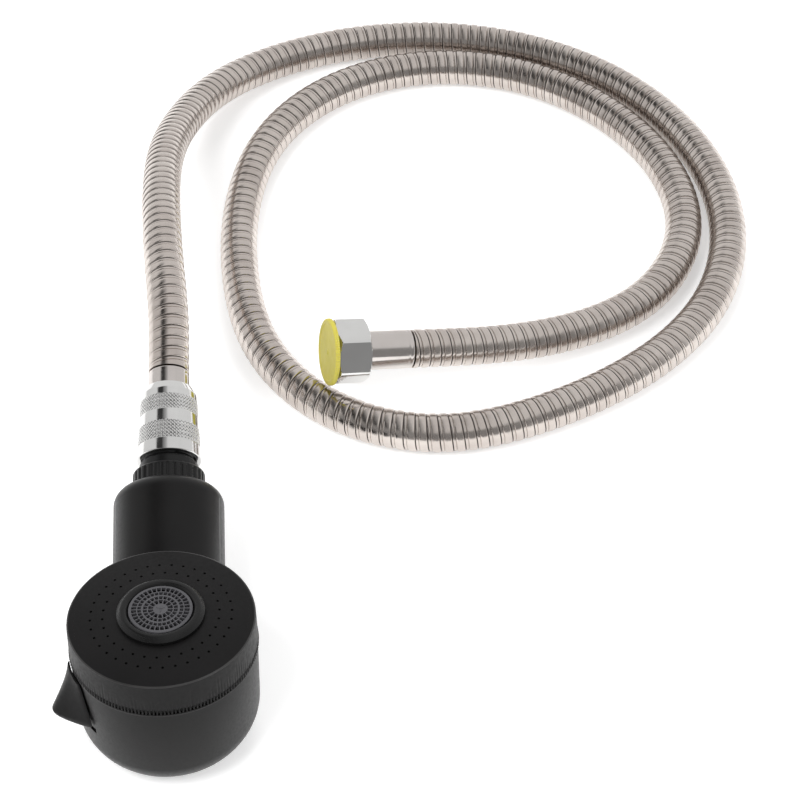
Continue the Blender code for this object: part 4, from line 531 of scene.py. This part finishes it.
def off_middle(phase):
    """How far a share of a turn is from its middle: 1 at either end and 0 half way."""
    return np.abs(2 * phase - 1)


# The head.
HEAD_RADIUS = 33.0 * MM
DRUM_EDGE_RADIUS, DRUM_EDGE = 33.45 * MM, 0.45 * MM
SHOULDER = 25.7 * MM
SPIGOT_RADIUS, SPIGOT_TOP = 31.0 * MM, 35.3 * MM
CAVITY_RADIUS, HEAD_FLOOR = 28.8 * MM, 2.0 * MM
NECK_RADIUS, NECK_ROUND, NECK_END, NECK_FLOOR = 20.9 * MM, 6.5 * MM, 80.6 * MM, 0.2 * MM
CAP_ROOM_RADIUS, CAP_ROOM_TOP = 34.9 * MM, 74.8 * MM
SCREW_CIRCLE, SCREW_HOLE, POST_WALL = 25.0 * MM, 1.6 * MM, 1.5 * MM
SCREW_TURNS = (math.radians(140.0), math.radians(320.0))
LEVER_HOLE = 1.8 * MM
DRUM_SIDES, CAVITY_SIDES = 160, 96
HIGHLIGHT_EDGE_RADIUS = 32.9 * MM  # the drum's and cap's edges that get the painted highlight lie outside it


def level_ring(radius, height, sides):
    return [polar(radius, index * math.tau / sides, height) for index in range(sides)]


def leaning_ring(radius, level, sides=DRUM_SIDES):
    return [HEAD @ point for point in level_ring(radius, level, sides)]


def bowl(radius, corner, floor, sides, steps=14):
    rings = []
    for index in range(steps + 1):
        a = index * math.pi / 2 / steps
        height = floor + corner * (1 - math.cos(a))
        rings.append(level_ring(radius - corner + corner * math.sin(a), height, sides))
    return rings


def screw_rods(radius, low, high, sides=32):
    ends = [(polar(SCREW_CIRCLE, a, low), polar(SCREW_CIRCLE, a, high)) for a in SCREW_TURNS]
    return rod_mesh(radius, ends, HEAD, sides)


def drum_mesh():
    rings = bowl(HEAD_RADIUS, HEAD_BASE, 0.0, DRUM_SIDES)
    edge_foot = SHOULDER - DRUM_EDGE
    rings.append(leaning_ring(DRUM_EDGE_RADIUS, edge_foot))
    for step in range(1, 5):
        a = step * math.pi / 8
        radius = DRUM_EDGE_RADIUS - DRUM_EDGE + DRUM_EDGE * math.cos(a)
        rings.append(leaning_ring(radius, edge_foot + DRUM_EDGE * math.sin(a)))
    rings.append(leaning_ring(SPIGOT_RADIUS, SHOULDER))
    rings.append(leaning_ring(SPIGOT_RADIUS, SPIGOT_TOP))
    return lofted("drum", rings)


def neck_mesh():
    """The neck's barrel, cut off level underneath and where the cap turns."""
    corners = [(0.0, 0.0), (NECK_RADIUS, 0.0), (NECK_RADIUS, NECK_END, NECK_ROUND), (0.0, NECK_END)]
    barrel = spun("barrel", filleted(corners, 0.0, 12), NECK, 144)
    reach = 2 * HEAD_RADIUS
    under = box_mesh((-reach, -reach, -reach), (reach, reach, NECK_FLOOR), Matrix.Identity(4))
    ledge = SHOULDER - 0.2 * MM
    outline = [(0.0, ledge), (CAP_ROOM_RADIUS, ledge), (CAP_ROOM_RADIUS, CAP_ROOM_TOP), (0.0, CAP_ROOM_TOP)]
    return combined(barrel, [], [under, spun("cap_room", outline, HEAD, DRUM_SIDES)])


def cavity_mesh():
    """The room in the drum, round the two screw posts and the two cheeks that hold the lever's pin."""
    corner = HEAD_BASE - (HEAD_RADIUS - CAVITY_RADIUS)
    rings = bowl(CAVITY_RADIUS, corner, HEAD_FLOOR, CAVITY_SIDES, 8)
    rings.append(leaning_ring(CAVITY_RADIUS, SPIGOT_TOP + MM, CAVITY_SIDES))
    posts = screw_rods(SCREW_HOLE + POST_WALL, -28.0 * MM, 11.7 * MM)
    left = lever_box((-3.5, 5.3, -28.0), (33.0, 8.3, 4.0))
    right = lever_box((-3.5, -8.3, -28.0), (33.0, -5.3, 4.0))
    return combined(lofted("cavity", rings), [], [posts, left, right])


def chamber_mesh():
    """The room for the filter in the neck, and the collar's hole at its end."""
    room, hole = 17.0 * MM, 11.9 * MM
    start, shoulder, end = 47.0 * MM, 77.0 * MM, 81.6 * MM
    outline = [(0.0, start), (room, start), (room, shoulder), (hole, shoulder), (hole, end), (0.0, end)]
    return spun("chamber", outline, NECK, 96)


def make_shell():
    passage_radius, passage_level = 4.9 * MM, 5.6 * MM
    passage_ends = ((0, 26.8 * MM, passage_level), (0, 51.9 * MM, passage_level))
    cuts = [
        cavity_mesh(),
        chamber_mesh(),
        rod_mesh(passage_radius, [passage_ends], HEAD),
        lever_box((2.8, -5.3, -0.2), (9.4, 5.3, 8.0)),  # the stem's slot
        lever_box((2.5, -12.0, -1.4), (9.7, 12.0, 1.0)),  # the pad's foot
        lever_rod(4.1 * MM, 5.1 * MM),  # the hub
        lever_rod(LEVER_HOLE, 9.3 * MM),
        screw_rods(SCREW_HOLE, 5.8 * MM, 15.3 * MM, 16),
    ]
    shell = combined(drum_mesh(), [neck_mesh()], cuts)
    # The faces on the drum's rounded top edge get the lighter edge finish, a painted highlight.
    low, high = SHOULDER - DRUM_EDGE, SHOULDER + 0.1 * MM
    marked(shell, HEAD, "shell", "edge", lambda r, z: (r > HIGHLIGHT_EDGE_RADIUS) & (z > low) & (z < high))
    link("shell", shell, "handset", "shell", "black_shell", "body_shell")


def rib_shape(ribs, bottom):
    """Fine upright teeth along the lower edge, which turn into streaks that end at uneven heights."""
    band, lowest, highest = 1.9 * MM, 4.0 * MM, 9.0 * MM
    long_share, long_stretch = 0.12, 1.3
    tooth_depth, streak_depth, swell_height = 0.42 * MM, 0.12 * MM, 0.2 * MM
    raggedness, point_height, foot_height = 0.35 * MM, 0.5 * MM, 0.8 * MM
    random = np.random.default_rng(5)
    tops = random.uniform(lowest, highest, ribs)
    tops[random.random(ribs) < long_share] = highest * long_stretch
    depths = random.uniform(0.5, 1.0, ribs)
    ends = random.uniform(0.0, raggedness, ribs)

    def shape(angle, radius, height):
        turn = (angle / math.tau * ribs) % ribs
        index = np.floor(turn).astype(int) % ribs
        phase = turn - np.floor(turn)
        valley = smooth_step(1 - off_middle(phase), 0.25, 0.95)
        above = height - bottom
        tooth = 1 - smooth_step(above, band * 0.8, band * 1.25)
        streak = 1 - smooth_step(above, tops[index] * 0.5, tops[index])
        outside = smooth_step(radius, 32.6 * MM, 33.2 * MM)
        depth = (tooth_depth * tooth + streak_depth * depths[index] * streak) * valley
        swell = swell_height * tooth * (1 - valley) * (0.4 + 0.6 * depths[index])
        near = 1 - smooth_step(above, 0.0, foot_height)
        return (swell - depth) * outside, (ends[index] + point_height * valley) * near * outside

    return shape


def make_front_cap():
    bottom, under, rim, level = 26.5 * MM, 38.0 * MM, 40.0 * MM, 41.8 * MM
    join, wide, flat = 31.0 * MM, 33.4 * MM, 16.5 * MM
    inner, foot, widest, lean = 31.5 * MM, 32.3 * MM, 33.7 * MM, 0.3 * MM
    edge_round, ribs = 0.35 * MM, 164

    def crown(radius):
        return level - (level - rim) * max(0.0, radius**2 - flat**2) / (wide**2 - flat**2)

    def crowned(radii):
        return [(r * MM, crown(r * MM)) for r in radii]

    edge = []
    for step in range(5):
        a = step * math.pi / 8
        drop = edge_round * (1 - math.sin(a))
        edge.append((wide - edge_round * (1 - math.cos(a)), crown(wide) - drop))
    tall = rim - 0.4 * MM - bottom
    shares = [0.0, 0.02, 0.04, 0.07, 0.10, 0.13, 0.16, 0.2] + [0.2 + 0.04 * k for k in range(1, 20)]
    wall = [(widest - lean * share, bottom + tall * share) for share in shares]
    skirt = [(inner, bottom), (foot, bottom)] + wall + edge + crowned((32.8, 32.4, 32.0, 31.5, 31.0))
    skirt += [(join, under), (inner, under)]
    ribbed = spun("skirt", skirt, HEAD, ribs * 7, rib_shape(ribs, bottom), 40.0)
    # The faces on the cap's rounded rim get the lighter edge finish, a painted highlight.
    low, high = crown(wide) - 0.4 * MM, crown(32.8 * MM)
    marked(ribbed, HEAD, "cap", "edge", lambda r, z: (r > HIGHLIGHT_EDGE_RADIUS) & (z > low) & (z < high))
    link("cap_skirt", ribbed, "front_cap", "cap", "black_cap", "spray_face")

    hole, boss, boss_end = 14.3 * MM, 16.2 * MM, 36.1 * MM
    top = crowned((31.0, 30.0, 28.5, 27.0, 25.0, 23.0, 20.6, 18.5))
    top += [(flat, level), (hole, level), (hole, boss_end), (boss, boss_end), (boss, under), (join, under)]
    plate = spun("plate", top, HEAD, DRUM_SIDES, None, 40.0)
    nozzles = []
    for count, circle in ((36, 25.0 * MM), (30, 20.6 * MM)):
        for index in range(count):
            a = (index + 0.3) * math.tau / count
            nozzles.append((polar(circle, a, under - MM), polar(circle, a, level + MM)))
    drilled = combined(plate, [], [rod_mesh(0.5 * MM, nozzles, HEAD, 12)], 40.0)
    link("cap_plate", drilled, "front_cap", "cap", "black_cap")


def make_bezel():
    top, bottom, level = 44.8 * MM, 34.9 * MM, 42.1 * MM
    outer, opening, sleeve, widest = 14.0 * MM, 11.75 * MM, 12.9 * MM, 15.6 * MM
    outline = filleted(
        [
            (outer, bottom),
            (outer, level),
            (16.6 * MM, level),
            (16.1 * MM, level + 1.0 * MM, 0.6 * MM),
            (outer, top, 1.6 * MM),
            (12.5 * MM, top, 0.8 * MM),
            (opening, 43.9 * MM, 0.3 * MM),
            (opening, 42.8 * MM),
            (sleeve, 42.1 * MM),
            (sleeve, bottom),
        ],
        0.12 * MM,
        6,
    )
    outline = [(min(r, widest), z) for r, z in outline]
    link("bezel", spun("bezel", outline, HEAD, 144), "front_cap", "gloss", "black_gloss", "aerator_ring")


def cell_mesh(low, high):
    """The openings of the grille, as upright blocks between two heights."""
    rings = ((2.6, 4.4, 14), (4.75, 6.15, 22), (6.85, 8.15, 30), (8.5, 10.3, 36))  # radii in mm and count
    bar, arc_steps = 0.34 * MM, 3
    faces, points = [], []
    for inner, outer, count in rings:
        for index in range(count):
            start, stop = index * math.tau / count, (index + 1) * math.tau / count
            corners = []
            for radius, first, last in ((inner * MM, start, stop), (outer * MM, stop, start)):
                trim = math.copysign(bar / 2 / radius, last - first)
                first, last = first + trim, last - trim
                for k in range(arc_steps + 1):
                    corners.append(polar(radius, first + (last - first) * k / arc_steps))
            base, n = len(points), len(corners)
            points += [(c.x, c.y, low) for c in corners] + [(c.x, c.y, high) for c in corners]
            faces.append([base + k for k in range(n)][::-1])
            faces.append([base + n + k for k in range(n)])
            for k in range(n):
                ahead = (k + 1) % n
                faces.append([base + k, base + ahead, base + n + ahead, base + n + k])
    return mesh_of("cells", points, faces, place=HEAD)


def make_grille():
    low, high, outer = 43.0 * MM, 44.3 * MM, 11.4 * MM
    outline = filleted([(0, low), (outer, low), (outer, high, 0.3 * MM), (0, high)], 0.05 * MM)
    grille = combined(spun("disc", outline, HEAD, 96), [], [cell_mesh(low - MM, high + MM)])
    link("grille", grille, "front_cap", "grey", "grey_plastic", "aerator_grille")
    arm_radius, arm_start, arm_end = 0.22 * MM, 0.2 * MM, 1.5 * MM
    arms = []
    for index in range(3):
        a = math.radians(30 + 120 * index)
        arms.append((polar(arm_start, a, high), polar(arm_end, a, high)))
    link("grille_mark", rod_mesh(arm_radius, arms, HEAD, 10), "front_cap", "grey", "grey_plastic")


def pad_mesh():
    """The lever's pad: a wedge that widens and thickens downwards and follows the drum's wall."""
    top, height = 19.5 * MM, 18.2 * MM
    top_half, low_half, widening = 6.0 * MM, 12.0 * MM, 0.8
    reach, lip, corner, ridge, air = 9.0 * MM, 0.8 * MM, 3.0 * MM, 0.24, 0.55 * MM
    thin_lip, columns, slope_steps, corner_steps = 0.35, 48, 30, 12
    straight = 1 - corner / height
    levels = [(straight * k / slope_steps, 0.0) for k in range(slope_steps)]
    for k in range(corner_steps + 1):
        closing = math.sin(k * math.pi / (2 * corner_steps))
        levels.append((straight + (1 - straight) * closing, closing))
    rings = []
    for share, closing in levels:
        drawn = corner * (1 - math.sqrt(max(0.0, 1 - closing**2)))
        thick = lip + (reach - lip) * min(1.0, share / straight) - drawn
        half = top_half + (low_half - top_half) * share**widening - drawn / 2
        level = top - height * share
        back, front = [], []
        for column in range(columns + 1):
            across = 2 * column / columns - 1
            side = half * across
            wall = math.sqrt((DRUM_EDGE_RADIUS - 0.1 * MM) ** 2 - side**2) - PIN_OUT
            fall = (math.hypot(across, ridge) - ridge) / (math.hypot(1.0, ridge) - ridge)
            round_lip = lip * (thin_lip + (1 - thin_lip) * math.sqrt(max(0.0, 1 - across**8)))
            dome = round_lip + (thick - lip) * (1 - fall)
            back.append(Vector((wall + air, side, level)))
            front.append(Vector((wall + air + dome, side, level)))
        rings.append([LEVER @ point for point in front + back[::-1]])
    return lofted("pad", rings, 40.0)


def make_lever():
    hub_half, low = 4.8 * MM, -15.05
    solids = [
        lever_rod(3.6 * MM, hub_half),
        lever_box((0.0, -4.5, 1.6), (9.8, 4.5, 6.0)),  # the stem
        lever_box((-4.0, -2.0, low), (0.5, 2.0, 0.0)),  # the arm
        lever_box((-28.5, -4.4, low), (-2.0, 4.4, low + 2.0)),  # the fork
    ]
    cuts = [
        lever_rod(LEVER_HOLE, hub_half + MM),
        lever_box((-29.5, -2.9, low - 1.0), (-20.0, 2.9, low + 3.0)),  # the fork's notch
    ]
    lever = combined(pad_mesh(), solids, cuts, 40.0)
    link("thumb_lever", lever, "lever", "cap", "black_gloss", "mode_lever")


# The fittings.
THREAD_RADIUS, SLEEVE_HOLE = 10.5 * MM, 8.5 * MM  # in both nuts
HALF_INCH_PITCH, THREAD_DEPTH = 1.814 * MM, 0.75 * MM


def thread_shape(low, high):
    """A screw thread cut into a stub between two heights."""

    def shape(angle, height):
        phase = (height / HALF_INCH_PITCH - angle / math.tau) % 1.0
        valley = np.clip(1.5 * (1 - off_middle(phase)), 0.0, 1.0)
        started = smooth_step(height, low, low + HALF_INCH_PITCH)
        ended = smooth_step(height, high - HALF_INCH_PITCH, high)
        return -THREAD_DEPTH * valley * (started * (1 - ended))

    return shape


def make_collar():
    start, end = 80.9 * MM, 88.1 * MM
    step_end, stub_end = end + 3.4 * MM, end + 18.0 * MM
    tail, bore, spigot, grip = 66.9 * MM, 6.5 * MM, 11.5 * MM, 13.7 * MM
    groove, groove_middle, groove_half = 10.5 * MM, 78.8 * MM, 0.9 * MM
    outline = filleted(
        [
            (bore, tail),
            (spigot, tail),
            (spigot, groove_middle - groove_half),
            (groove, groove_middle - groove_half),
            (groove, groove_middle + groove_half),
            (spigot, groove_middle + groove_half),
            (spigot, start),
            (grip, start, 0.3 * MM),
            (grip, end, 1.9 * MM),
            (11.2 * MM, end, 0.2 * MM),
            (11.2 * MM, step_end, 0.5 * MM),
            (10.3 * MM, step_end, 0.1 * MM),
            (10.2 * MM, stub_end, 0.5 * MM),
            (bore, stub_end, 0.3 * MM),
        ],
        0.15 * MM,
        5,
    )
    outline = dense(outline, 0.32 * MM)
    thread = thread_shape(step_end + 0.4 * MM, stub_end + 0.4 * MM)
    ribs, flute_depth = 30, 0.5 * MM

    def shape(angle, radius, height):
        rib = smooth_step(off_middle((angle / math.tau * ribs) % 1.0), 0.15, 0.6)
        near = smooth_step(radius, 12.2 * MM, 13.0 * MM)
        fade = 1 - smooth_step(height, end - 1.8 * MM, end - 0.6 * MM)
        out = -flute_depth * (1 - rib) * near * fade
        on_stub = (radius > 9.6 * MM) & (height > step_end)
        return out + np.where(on_stub, thread(angle, height), 0.0)

    collar = spun("collar", outline, NECK, 300, shape, 40.0)
    link("collar", collar, "handset", "gloss", "black_gloss", "inlet_connector")


def make_cone_nut():
    start, stop, floor = 93.3 * MM, 123.9 * MM, 111.2 * MM
    mouth, waist, end = 12.35 * MM, 10.9 * MM, 9.3 * MM
    waist_height = stop - 3.4 * MM
    outline = filleted(
        [
            (THREAD_RADIUS, start, 0.3 * MM),
            (mouth, start, 0.45 * MM),
            (waist, waist_height, 1.6 * MM),
            (end, stop, 0.5 * MM),
            (SLEEVE_HOLE, stop, 0.2 * MM),
            (SLEEVE_HOLE, floor),
            (THREAD_RADIUS, floor),
        ],
        0.1 * MM,
        6,
    )

    def outside_edge(first, second):
        return min(first[0], second[0]) > 9.6 * MM and max(first[0], second[0]) > 10.85 * MM

    outline = dense(outline, 0.16 * MM, outside_edge)
    bands = ((5.0 * MM, 12.8 * MM), (17.6 * MM, 24.5 * MM))
    around, lead, depth, narrowing, run_in = 50, 1.4 * MM, 0.3 * MM, 2.8, 0.3 * MM
    slope = (mouth - waist) / (waist_height - start)

    def surface_at(height):
        return mouth - slope * (height - start)

    def shape(angle, radius, height):
        distance = height - start
        total = np.zeros_like(radius)
        for first, last in bands:
            started = smooth_step(distance, first, first + run_in)
            inside = started * (1 - smooth_step(distance, last - run_in, last))
            one = off_middle((angle / math.tau * around + distance / lead) % 1.0)
            two = off_middle((angle / math.tau * around - distance / lead) % 1.0)
            groove = np.maximum(1 - one * narrowing, 1 - two * narrowing).clip(0.0, 1.0)
            total -= depth * groove * inside
        return np.where(radius > surface_at(height) - 0.4 * MM, total, 0.0)

    # Picks the faces deep in the knurl's grooves, which get the darker chrome: painted shade.
    def painted_shade_in_groove(radius, height):
        distance = height - start
        shown = np.zeros(len(radius), bool)
        for first, last in bands:
            shown |= (distance > first) & (distance < last)
        deep = surface_at(height) - radius
        return shown & (deep > 0.17 * MM) & (deep < 0.6 * MM)

    nut = spun("cone_nut", outline, NECK, around * 8, shape, 50.0)
    marked(nut, NECK, "chrome", "groove", painted_shade_in_groove)
    link("cone_nut", nut, "conical_nut", "chrome", "chrome", "handset_nut")


def make_ferrule(name, node, place, low, high, toward):
    """A plain sleeve with a rounded lip and a pressed line at the hose's side, which is +1 or -1 along it."""
    inner, outer, lip, plain_edge = 6.0 * MM, 8.0 * MM, 0.9 * MM, 0.2 * MM
    outline = filleted(
        [
            (inner, low, 0.1 * MM),
            (outer, low, lip if toward < 0 else plain_edge),
            (outer, high, lip if toward > 0 else plain_edge),
            (inner, high, 0.1 * MM),
        ],
        0.1 * MM,
        6,
    )
    line = (high if toward > 0 else low) - toward * 1.9 * MM
    line_depth, line_half = 0.12 * MM, 0.35 * MM

    def shape(angle, radius, height):
        near = np.exp(-(((height - line) / line_half) ** 2))
        return np.where(radius > 7.5 * MM, -line_depth * near, 0.0)

    sleeve = spun(name, dense(outline, 0.4 * MM), place, 96, shape, 50.0)
    link(name, sleeve, "handset", "ferrule", "chrome", node)


def make_hex_nut():
    start, stop, floor = 19.9 * MM, 33.2 * MM, 22.9 * MM
    half_flat, turn = 12.0 * MM, math.radians(1.0)
    corner = half_flat / math.cos(math.pi / 6)
    inside = 12.05 * MM  # the radius where the chamfers start
    outline = [
        (SLEEVE_HOLE, start),
        (inside - 0.4 * MM, start),
        (corner, start + 0.05 * MM),
        (corner, stop - 0.05 * MM),
        (inside - 0.4 * MM, stop),
        (THREAD_RADIUS + 0.5 * MM, stop),
        (THREAD_RADIUS, stop - 0.5 * MM),
        (THREAD_RADIUS, floor),
        (SLEEVE_HOLE, floor),
    ]
    edge_round, chamfer_slope = 0.35 * MM, 1.75

    def shape(angle, radius, height):
        """Draws the outside in to the six flats, with rounded edges and chamfered ends."""
        planes = [np.cos(angle - turn - k * math.pi / 3 - math.pi / 6) for k in range(6)]
        flat = half_flat / np.stack(planes).max(0)
        flat = flat - edge_round * np.exp(-(corner - flat) / edge_round)
        from_end = np.minimum(height - start, stop - height)
        chamfer = inside + 0.15 * MM + np.clip(from_end, 0.0, None) * chamfer_slope
        limit = np.minimum(flat, chamfer)
        return np.where(radius > inside - 0.5 * MM, np.minimum(radius, limit) - radius, 0.0)

    nut = spun("hex_nut", dense(outline, 0.3 * MM), TAP, 360, shape, 18.0)
    link("hex_nut", nut, "hexagon_nut", "chrome", "chrome", "tap_nut")


def make_plug_cap():
    plug_start, start, flange = 28.6 * MM, 33.6 * MM, 35.5 * MM
    rim, plug, bore = 13.6 * MM, 10.0 * MM, 8.6 * MM
    ceiling, dish, mark = start + 0.6 * MM, flange - 0.25 * MM, flange - 0.02 * MM
    outline = filleted(
        [
            (0.0, ceiling),
            (bore, ceiling, 0.5 * MM),
            (bore, plug_start, 0.3 * MM),
            (plug, plug_start, 0.6 * MM),
            (plug, start, 0.3 * MM),
            (rim, start, 0.35 * MM),
            (rim, flange, 0.75 * MM),
            (rim - 1.9 * MM, flange, 0.3 * MM),
            (rim - 2.3 * MM, dish, 0.3 * MM),
            (1.0 * MM, dish, 0.1 * MM),
            (0.8 * MM, mark, 0.15 * MM),
            (0.0, mark),
        ],
        0.1 * MM,
        6,
    )
    teeth, notch_depth = 84, 0.22 * MM

    def shape(angle, radius, height):
        notch = smooth_step(1 - off_middle((angle / math.tau * teeth) % 1.0), 0.3, 0.9)
        return -notch_depth * notch * smooth_step(radius, rim - 0.7 * MM, rim - 0.1 * MM)

    cap = spun("plug_cap", dense(outline, 0.5 * MM), TAP, teeth * 6, shape, 50.0)
    link("plug_cap", cap, "hose_cap", "yellow", "yellow_plastic", "protective_cap")


# The hose.
HOSE_RADIUS = 8.0 * MM
HOSE_START = 131.7 * MM  # along the neck
HOSE_PITCH = 4.56 * MM
HOSE_SIDES = 28
HOSE_ROUTE = [
    Vector(point) * MM
    for point in (
        (-2.0, 176.0, 56.0), (-4.6, 218.0, 51.5), (-4.6, 262.0, 39.5), (2.4, 304.0, 24.5),
        (21.5, 342.0, 12.8), (56.5, 366.0, 8.4), (100.0, 374.5, 8.1), (144.5, 369.3, 8.1),
        (185.0, 350.0, 8.1), (216.6, 318.0, 8.1), (235.4, 276.0, 8.1), (237.6, 231.5, 8.1),
        (222.5, 190.5, 8.1), (191.9, 158.3, 8.1), (151.3, 136.0, 8.1), (105.6, 126.4, 8.1),
        (65.4, 139.7, 8.1), (36.4, 174.2, 8.1), (26.0, 219.2, 8.1), (27.4, 265.8, 8.1),
        (41.0, 308.2, 8.1), (70.6, 339.3, 8.1), (113.1, 352.9, 8.1), (157.0, 344.7, 8.1),
        (193.0, 317.6, 8.1), (215.6, 278.5, 8.1), (218.6, 236.0, 8.2), (197.5, 198.0, 8.6),
        (157.5, 175.1, 11.6),
    )
]

# One turn of the folded strip: share of the pitch, and radius in millimetres.
STRIP = (
    (0.000, 7.42), (0.030, 7.42), (0.055, 7.80), (0.095, 7.94), (0.20, 7.985), (0.38, 8.00),
    (0.56, 7.985), (0.655, 7.94), (0.69, 7.78), (0.71, 7.42), (0.74, 7.42), (0.765, 7.64),
    (0.86, 7.70), (0.955, 7.64),
)


def smooth_curve(points, first, last, samples=60):
    """A cubic spline through the points, with given directions at its ends."""
    places = np.array([tuple(point) for point in points])
    chords = np.linalg.norm(np.diff(places, axis=0), axis=1)
    count = len(places)
    system, wanted = np.zeros((count, count)), np.zeros((count, 3))
    system[0, 0] = system[-1, -1] = 1.0
    wanted[0], wanted[-1] = first, last
    for index in range(1, count - 1):
        before, after = chords[index - 1], chords[index]
        system[index, index - 1 : index + 2] = after, 2 * (before + after), before
        rise = (places[index] - places[index - 1]) / before * after
        fall = (places[index + 1] - places[index]) / after * before
        wanted[index] = 3 * (rise + fall)
    slopes = np.linalg.solve(system, wanted)
    share = np.arange(samples)[:, None] / samples
    curve = []
    for index, chord in enumerate(chords):
        start, stop = places[index], places[index + 1]
        leave, arrive = slopes[index] * chord, slopes[index + 1] * chord
        curve.append(
            start * (1 + 2 * share) * (1 - share) ** 2
            + leave * share * (1 - share) ** 2
            + stop * share**2 * (3 - 2 * share)
            + arrive * share**2 * (share - 1)
        )
    return np.vstack(curve + [places[-1:]])


def hose_route():
    leave = NECK.to_3x3() @ Vector((0, 0, 1))
    start = NECK @ Vector((0, 0, HOSE_START))
    straight = 2 * HOSE_RADIUS
    points = [start + leave * straight] + HOSE_ROUTE + [TAP_POINT - TAP_DIRECTION * straight]
    middle = smooth_curve(points, tuple(leave), tuple(TAP_DIRECTION))
    return np.vstack([[tuple(start)], middle, [tuple(TAP_POINT)]])


def sampled(places, known, values):
    """Each column of the values at the places asked for."""
    return np.stack([np.interp(places, known, values[:, k]) for k in range(3)], 1)


def across_route(route):
    """Two unit vectors across the route at each of its points, which don't twist along it."""
    along = np.gradient(route, axis=0)
    along /= np.linalg.norm(along, axis=1)[:, None]
    side = np.cross(along[0], (0, 0, 1.0))
    side /= np.linalg.norm(side)
    sides = [side]
    for ahead in along[1:]:
        side = side - ahead * (side @ ahead)
        side /= np.linalg.norm(side)
        sides.append(side)
    sides = np.array(sides)
    return sides, np.cross(along, sides)


def strip_points(route, reached):
    """The wound strip's points: a row for each corner of its section, a column for each side round."""
    length = reached[-1]
    even = np.linspace(0.0, length, 2 * int(length / MM))
    middle = sampled(even, reached, route)
    side, up = across_route(middle)
    turns = round(length / HOSE_PITCH)
    pitch = length / turns
    strip = np.array(STRIP)
    per_turn = len(strip)
    rows = (turns + 1) * per_turn + 1
    row = np.arange(rows)
    share = row // per_turn + strip[row % per_turn, 0] - 1.0
    turn = np.arange(HOSE_SIDES) / HOSE_SIDES
    distance = np.clip(pitch * (share[:, None] + turn[None]), 0.0, length)
    phase = (distance / pitch - turn[None]) % 1.0
    phase = np.where(phase > 1 - 1e-7, 0.0, phase)
    closed = np.vstack([strip, [1.0, strip[0, 1]]])
    radius = (np.interp(phase, closed[:, 0], closed[:, 1]) * MM)[..., None]
    angle = (turn * math.tau)[None, :, None]

    def at(values):
        return sampled(distance.ravel(), even, values).reshape(rows, HOSE_SIDES, 3)

    return at(middle) + radius * (at(side) * np.cos(angle) + at(up) * np.sin(angle))


def strip_faces(rows, per_turn):
    """Its faces, and whether each lies in the seam between two turns."""
    index = np.arange(rows * HOSE_SIDES).reshape(rows, HOSE_SIDES)
    # The last column joins the first one a turn further on, so the strip winds as a helix.
    right = np.full_like(index, -1)
    right[:, :-1] = index[:, 1:]
    right[:-per_turn, -1] = index[per_turn:, 0]
    faces = np.stack([index[:-1], right[:-1], right[1:], index[1:]], -1).reshape(-1, 4)
    corner = np.arange(rows - 1) % per_turn
    seam = np.repeat((corner == 0) | (corner == per_turn - 1), HOSE_SIDES)
    whole = (faces >= 0).all(1)
    return faces[whole], seam[whole]


def make_hose():
    route = hose_route()
    steps = np.linalg.norm(np.diff(route, axis=0), axis=1)
    reached = np.concatenate([[0.0], np.cumsum(steps)])
    points = strip_points(route, reached)
    faces, seam = strip_faces(len(points), len(STRIP))
    mesh = bpy.data.meshes.new("hose")
    mesh.from_pydata(points.reshape(-1, 3).tolist(), [], faces.tolist())
    mesh.materials.append(MATERIALS["steel"])
    mesh.materials.append(MATERIALS["seam"])
    mesh.polygons.foreach_set("material_index", seam.astype(np.int32))
    bm = bmesh.new()
    bm.from_mesh(mesh)
    bmesh.ops.remove_doubles(bm, verts=bm.verts, dist=0.002 * MM)
    loose = [vertex for vertex in bm.verts if not vertex.link_faces]
    bmesh.ops.delete(bm, geom=loose, context="VERTS")
    rims = [edge for edge in bm.edges if len(edge.link_faces) == 1]
    bmesh.ops.holes_fill(bm, edges=rims, sides=0)
    bm.to_mesh(mesh)
    bm.free()
    smoothed(mesh, 38.0)
    hose = link("hose", mesh, "handset", "steel", "hose_steel", "hose_armour", "hose_liner")


# The CAD solids that stay: those inside the head and the fittings.
INNER_FINISHES = {
    "dark": ("aerator_body", "outlet_seat"),
    "white": ("flow_divider", "valve_block", "diverter_spool", "inlet_tube", "inlet_filter"),
    "rubber": (
        "aerator_washer", "face_seal", "centre_gasket", "spool_seal", "connector_seal",
        "handset_washer", "tap_washer",
    ),
    "screw": ("aerator_screen", "lever_pin", "block_screw_left", "block_screw_right"),
    "brass": ("handset_barb", "tap_barb"),
}


def dress_nodes():
    for finish, nodes in INNER_FINISHES.items():
        for node in nodes:
            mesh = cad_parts[node].data
            mesh.materials.clear()
            mesh.materials.append(MATERIALS[finish])


make_materials()
make_stage()
dress_nodes()
make_shell()
make_front_cap()
make_bezel()
make_grille()
make_lever()
make_collar()
make_cone_nut()
make_ferrule("handset_sleeve", "handset_ferrule", NECK, 111.0 * MM, 131.4 * MM, 1)
make_ferrule("tap_sleeve", "tap_ferrule", TAP, 0.3 * MM, 23.1 * MM, -1)
make_hex_nut()
make_plug_cap()
make_hose()
